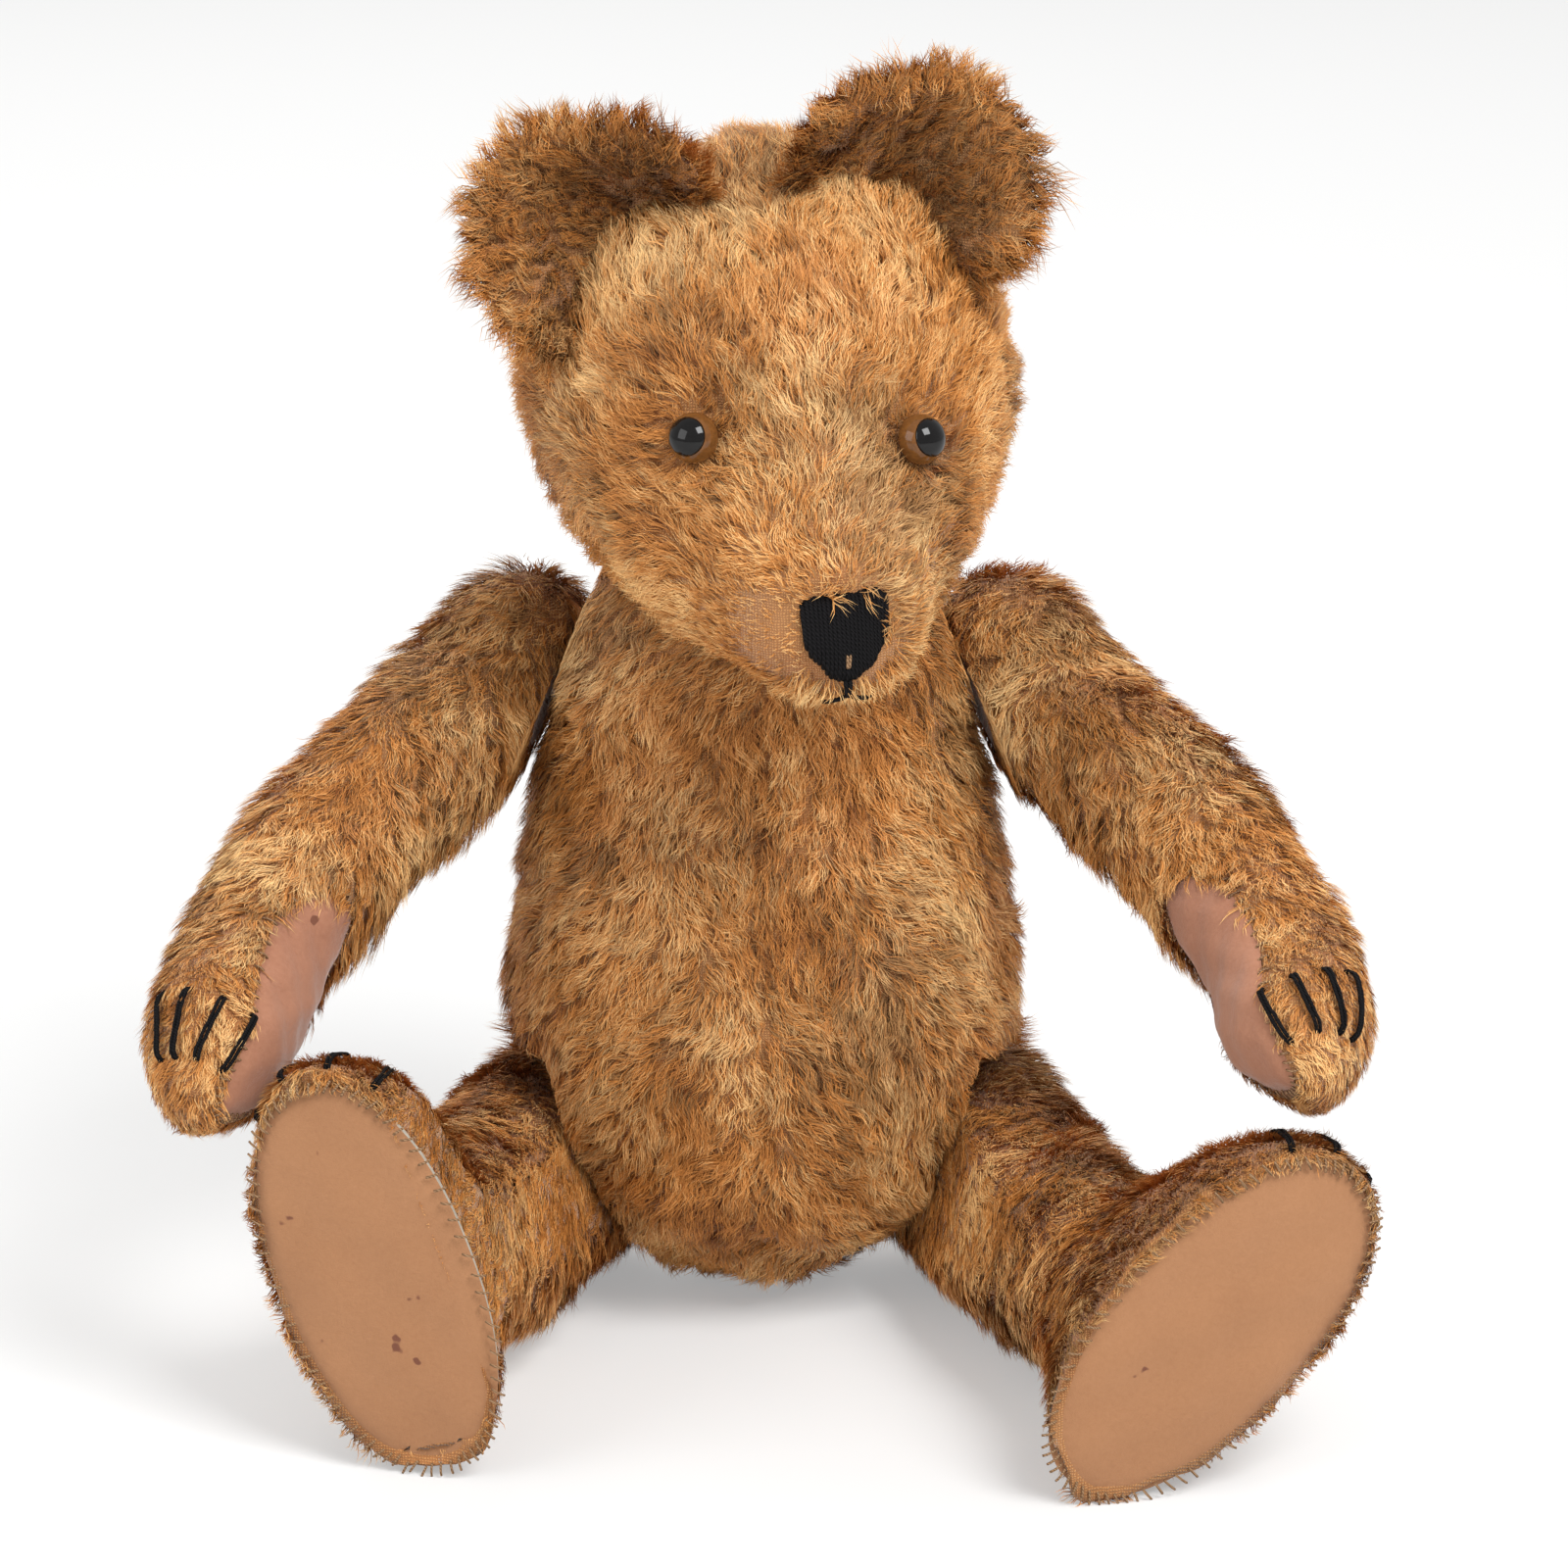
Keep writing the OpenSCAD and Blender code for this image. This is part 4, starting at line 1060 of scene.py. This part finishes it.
def paw_felt(side, skin):
    tree = skin.tree()
    m = at_palm(side)
    outline = oval(PAD_LEN / 2 - 0.3, PAD_W / 2 - 0.3, 72, 0.95)
    points, faces = dome_patch(outline, lambda x, y, edge: edge)
    keep = []
    for x, y, edge in points:
        lift = 1.5 + 0.35 * math.sin(x * 0.5) * math.sin(y * 0.6 + 1) - 1.3 * edge ** 10
        keep.append(on_skin(tree, m, x, y, lift))
    last = next(p for p in keep if p is not None)
    for k, p in enumerate(keep):
        last = keep[k] = p if p is not None else last
    obj = mesh_object(f"{NAMES[side]}_paw_felt", np.array(keep), faces, PAW_FELT)
    body = f"{NAMES[side]}_arm"
    dress(obj, body, "paw_felt", f"{NAMES[side]}_paw_pad")
    stitches, rng = [], np.random.default_rng(70 + side)
    ring = oval(PAD_LEN / 2, PAD_W / 2, 56, 0.95)
    for x, y in ring:
        out = unit(np.array([x / PAD_LEN ** 2, y / PAD_W ** 2]))
        path = [on_skin(tree, m, x + out[0] * t, y + out[1] * t, 0.9 - 0.5 * t * t)
                for t in np.linspace(-1.1, 1.1, 5) + rng.normal(0, 0.1)]
        if all(p is not None for p in path):
            stitches.append(tube(path, 0.25, 6))
    dress(gathered(f"{NAMES[side]}_paw_stitches", stitches, TAN_THREAD), body, "thread")


# ---- Thread claws, nose and mouth ----


def thread_line(tree, m, ends, lift, radius, rng, count=16):
    """A thread laid on a skin between two (x, y) ends in frame m, dipping in at both ends."""
    (x0, y0), (x1, y1) = ends
    path = []
    for t in np.linspace(0, 1, count):
        dip = lift - 1.9 * lift * abs(2 * t - 1) ** 8
        p = on_skin(tree, m, x0 + (x1 - x0) * t, y0 + (y1 - y0) * t, dip)
        if p is not None:
            path.append(p)
    return tube(path, radius * (1 + rng.normal(0, 0.05)), 8) if len(path) > 2 else None


CLAW_LEN, CLAW_TO_TIP, CLAW_FAN = 15, 9, 24


def claws(side, part, limb, skin, seed, frames, ends):
    """Claws of two threads each, one claw in each frame."""
    tree, rng, lines = skin.tree(), np.random.default_rng(seed), []
    for m in frames:
        for off in (-0.38, 0.38):
            lines.append(thread_line(tree, m, ends(off), 2.2, 0.42, rng))
    obj = gathered(f"{NAMES[side]}_{part}_thread", lines, BLACK_THREAD)
    dress(obj, f"{NAMES[side]}_{limb}", "thread", f"{NAMES[side]}_{part}_claws")


def paw_claws(side, skin):
    at = at_arm(side) @ move(ARM_LEN - CLAW_TO_TIP - CLAW_LEN, -PAW_UP, PAW_MIDDLE)
    frames = [at @ turn("X", 90 + CLAW_FAN * (i - 1.5) - 14) for i in range(4)]
    claws(side, "paw", "arm", skin, 80 + side, frames, lambda off: ((0, off), (CLAW_LEN, off)))


def foot_claws(side, skin):
    at = at_sole(side) @ move(0, -(FOOT_LEN - FOOT_W) / 2, 0)
    frames = [at @ turn("Z", 180 + CLAW_FAN * (i - 1.5)) @ turn("X", -90) for i in range(4)]
    claws(side, "foot", "leg", skin, 90 + side, frames,
          lambda off: ((off, 3), (off, 3 + CLAW_LEN)))


def nose_and_mouth(skin):
    """Satin stitches side by side over a shield shape, a worn slit, and the mouth below."""
    tree, rng = skin.tree(), np.random.default_rng(100)
    m = at_head() @ move(NOSE_SIDE, 0, NOSE_UP) @ turn("X", 90)
    lines, count = [], 21
    for k in range(count):
        x = (k / (count - 1) - 0.5) * (NOSE_W - 1.2)
        f = abs(x) / (NOSE_W / 2)
        top = NOSE_H / 2 - 0.5 - 1.8 * f ** 3 + rng.normal(0, 0.25)
        low = -NOSE_H / 2 + 10.5 * max(f - 0.05, 0) ** 1.9 + rng.normal(0, 0.25)
        x0 = x * 0.93
        lines.append(thread_line(tree, m, ((x, top), (x0, low)), 1.7 - 0.5 * f, 0.62, rng, 22))
    dress(gathered("nose_stitches", lines, BLACK_THREAD), "head", "thread", "nose")
    slit = [thread_line(tree, m, ((x, -2.2), (0.5 * x, -6.0)), 2.3, 0.3, rng)
            for x in (-0.35, 0.35)]
    dress(gathered("nose_wear", slit, TAN_THREAD), "head", "thread")
    low = -NOSE_H / 2
    ways = [((x, low + 1.5), (0.4 * x, low - 3.0)) for x in (-0.5, 0.5)]
    ways += [((0, low - 2.2), (5.5 * s, low - 4.2)) for s in (1, -1)]
    mouth = [thread_line(tree, m, w, 2.2, 0.5, rng) for w in ways]
    dress(gathered("mouth_stitches", mouth, BLACK_THREAD), "head", "thread", "mouth")


# ---- Glass eyes ----


def glass_material(name, inner, outer, streaks):
    m = Nodes(name, Roughness=0.07)
    m.shader.inputs["Specular IOR Level"].default_value = 0.3
    fine = m.noise(700, 3, 0.7)
    m.colour(m.mix(m.maths("MULTIPLY", fine, streaks), inner, outer))
    return m.material


def cap(radius, low, rim, rings, sides):
    """A lathe-turned dome: the part of a ball above z = low, with a rolled rim."""
    points = []
    start = math.acos(low / radius)
    for k in range(rings):
        t = start * (1 - k / rings)
        for j in range(sides):
            a = 2 * math.pi * j / sides
            points.append((radius * math.sin(t) * math.cos(a), radius * math.sin(t) * math.sin(a),
                           radius * math.cos(t)))
    points.append((0, 0, radius))
    faces = dome_faces(rings, sides)
    low_ring = len(points)
    for j in range(sides):
        a = 2 * math.pi * j / sides
        r = radius * math.sin(start) - rim
        points.append((r * math.cos(a), r * math.sin(a), low - rim))
    faces += [((j + 1) % sides, j, low_ring + j, low_ring + (j + 1) % sides)
              for j in range(sides)]
    faces.append(tuple(range(low_ring, low_ring + sides))[::-1])
    return np.array(points), faces


def eyes():
    amber = glass_material("amber_glass", (0.045, 0.018, 0.006), (0.22, 0.085, 0.02), 1.1)
    black = glass_material("black_glass", (0.002, 0.002, 0.002), (0.006, 0.005, 0.005), 1.0)
    r = EYE_D / 2
    for side in (1, -1):
        place = at_head() @ eye_frame(side)
        for part, dome, glass in (("eye", cap(r, -0.1 * r, 0.4, 16, 64), amber),
                                  ("pupil", cap(r + 0.06, 0.66 * r, 0.05, 10, 64), black)):
            points = apply(place, dome[0])
            obj = mesh_object(f"{NAMES[side]}_{part}_glass", points, dome[1], glass)
            dress(obj, "head", f"{part}_glass", f"{NAMES[side]}_{part}")


# ---- Kept joint hardware ----


def pulp(name, rough, grain, low, high, fine, bump):
    """Board or card."""
    m = Nodes(name, Roughness=rough)
    m.colour(m.ramp(m.noise(*grain), (0.3, low), (0.7, high)))
    m.bump(m.noise(fine, 4), *bump)
    return m


def hardware():
    board = pulp("pressed_board", 0.85, (260, 6, 0.7), (0.20, 0.115, 0.055),
                 (0.36, 0.225, 0.115), 500, (0.4, 0.0004))
    card = pulp("grey_card", 0.9, (300, 5, 0.7), (0.30, 0.27, 0.22), (0.42, 0.38, 0.31),
                650, (0.3, 0.0003))
    steel = Nodes("zinc_steel", Metallic=1.0)
    steel.colour(steel.ramp(steel.noise(120, 5, 0.65), (0.35, (0.40, 0.39, 0.37)),
                            (0.75, (0.62, 0.61, 0.59))))
    steel.rough(steel.noise(220, 4), 0.3, 0.55)
    for name, obj in frame["nodes"].items():
        kind = card if "card" in name else board if "disc" in name else steel
        if any(k in name for k in ("card", "disc", "washer", "pin")):
            for slot in obj.material_slots:
                slot.material = kind.material


# ---- The whole bear ----


def skin_object(skin, name, body, nodes):
    obj = mesh_object(name, skin.points(), skin.faces(), CLOTH)
    dress(obj, body, "fur", *nodes)
    return obj


def covers(part):
    return (f"{part}_cover", f"{part}_stuffing")


def panels(pile, parts=2):
    """Panel numbers round a form."""
    turns = np.mod(pile.a / (2 * np.pi), 1)
    return np.minimum((turns * parts).astype(int), parts - 1)


DENSITY, LOCK = 2.5, 3.4


def build():
    torso = Skin(TORSO, [0, 1, 0], np.eye(4), lambda u: -UNDER + 0 * u, keep_torso, 70, 96,
                 torso_shape)
    skin_object(torso, "torso_cloth", "torso", covers("torso"))
    pile = Pile(torso, torso_look, DENSITY, LOCK, 1)
    pile.build("torso_pile", "torso", panels(pile, 4))
    head = Skin(HEAD, [0, 0, 1], at_head(), head_lay, keep_head, 80, 96, head_shape)
    skin_object(head, "head_cloth", "head", covers("head"))
    pile = Pile(head, head_look, DENSITY * 1.1, LOCK * 0.9, 2)
    pile.build("head_pile", "head", panels(pile, 4))
    nose_and_mouth(head)
    eyes()
    for side in (1, -1):
        name = NAMES[side]
        ear = Skin(EAR, [0, 0, 1], at_ear(side), lambda u: -2.4 + 0 * u, keep_head, 30, 48,
                   ear_shape(50 + side))
        skin_object(ear, f"{name}_ear_cloth", "head", (f"{name}_ear",))
        pile = Pile(ear, ear_look(54 + side * 3), DENSITY * 1.2, LOCK, 5 + side)
        pile.build(f"{name}_ear_pile", "head")
        arm = Skin(ARM, [0, 1, 0], at_arm(side), arm_lay, keep_arm(side), 56, 64,
                   lumps(36 + side))
        skin_object(arm, f"{name}_arm_cloth", f"{name}_arm", covers(f"{name}_arm"))
        pile = Pile(arm, arm_look(side), DENSITY, LOCK, 8 + side)
        pile.build(f"{name}_arm_pile", f"{name}_arm", panels(pile))
        paw_felt(side, arm)
        paw_claws(side, arm)
        leg = Skin(leg_stations(side), [0, 1, 0], at_hip(side), leg_lay, keep_leg(side), 60, 80,
                   lumps(46 + side), sole_end(side))
        skin_object(leg, f"{name}_leg_cloth", f"{name}_leg", covers(f"{name}_leg"))
        pile = Pile(leg, leg_look(side), DENSITY, LOCK, 11 + side)
        pile.build(f"{name}_leg_pile", f"{name}_leg", panels(pile))
        sole_felt(side)
        foot_claws(side, leg)


# ---- Camera, light and floor ----


def aim(obj, target):
    way = Vector(target) - obj.location
    obj.rotation_euler = way.to_track_quat("-Z", "Y").to_euler()


LENS, AWAY, ELEVATION, TARGET = 143.5, 1.4, 17, (0.005, -0.030, 0.131)
SKY, FLOOR_TINT, FLOOR_GLOW, FLOOR_HALF = 0.62, (0.78, 0.78, 0.775, 1), 0.33, 4000
# Each lamp's name, place and size in metres, and power in watts.
LAMPS = (("key", (0.9, -1.2, 1.7), 1.0, 46), ("fill", (-1.4, -1.0, 0.9), 1.2, 13),
         ("back", (-0.3, 1.5, 1.6), 1.2, 14))


def studio():
    scene = bpy.context.scene
    scene.view_settings.view_transform = "Standard"
    camera = bpy.data.cameras.new("camera")
    camera.sensor_width, camera.lens = 36, LENS
    eye = bpy.data.objects.new("camera", camera)
    scene.collection.objects.link(eye)
    up = math.radians(ELEVATION)
    x, y, z = TARGET
    eye.location = (x, y - AWAY * math.cos(up), z + AWAY * math.sin(up))
    aim(eye, TARGET)
    scene.camera = eye
    world = bpy.data.worlds.new("studio")
    scene.world = world
    world.use_nodes = True
    world.node_tree.nodes["Background"].inputs["Color"].default_value = (1, 1, 1, 1)
    world.node_tree.nodes["Background"].inputs["Strength"].default_value = SKY
    for name, place, size, power in LAMPS:
        light = bpy.data.lights.new(name, "AREA")
        light.size, light.energy = size, power
        lamp = bpy.data.objects.new(name, light)
        lamp.location = place
        scene.collection.objects.link(lamp)
        aim(lamp, (0, 0, 0.13))
    floor = Nodes("floor", Roughness=0.9)
    floor.shader.inputs["Base Color"].default_value = FLOOR_TINT
    rays = floor.node("LightPath")
    glow = floor.node("Emission", Strength=1.0)
    mix = floor.node("MixShader")
    floor.link(floor.maths("MULTIPLY", rays.outputs["Is Camera Ray"], FLOOR_GLOW), mix.inputs[0])
    floor.link(floor.shader.outputs[0], mix.inputs[1])
    floor.link(glow.outputs[0], mix.inputs[2])
    floor.link(mix.outputs[0], floor.tree.nodes["Material Output"].inputs["Surface"])
    ways = ((-1, -1), (1, -1), (1, 1), (-1, 1))
    corners = [(x * FLOOR_HALF, y * FLOOR_HALF, 0.0) for x, y in ways]
    obj = mesh_object("floor", corners, [(0, 1, 2, 3)], floor.material)


hardware()
build()
studio()
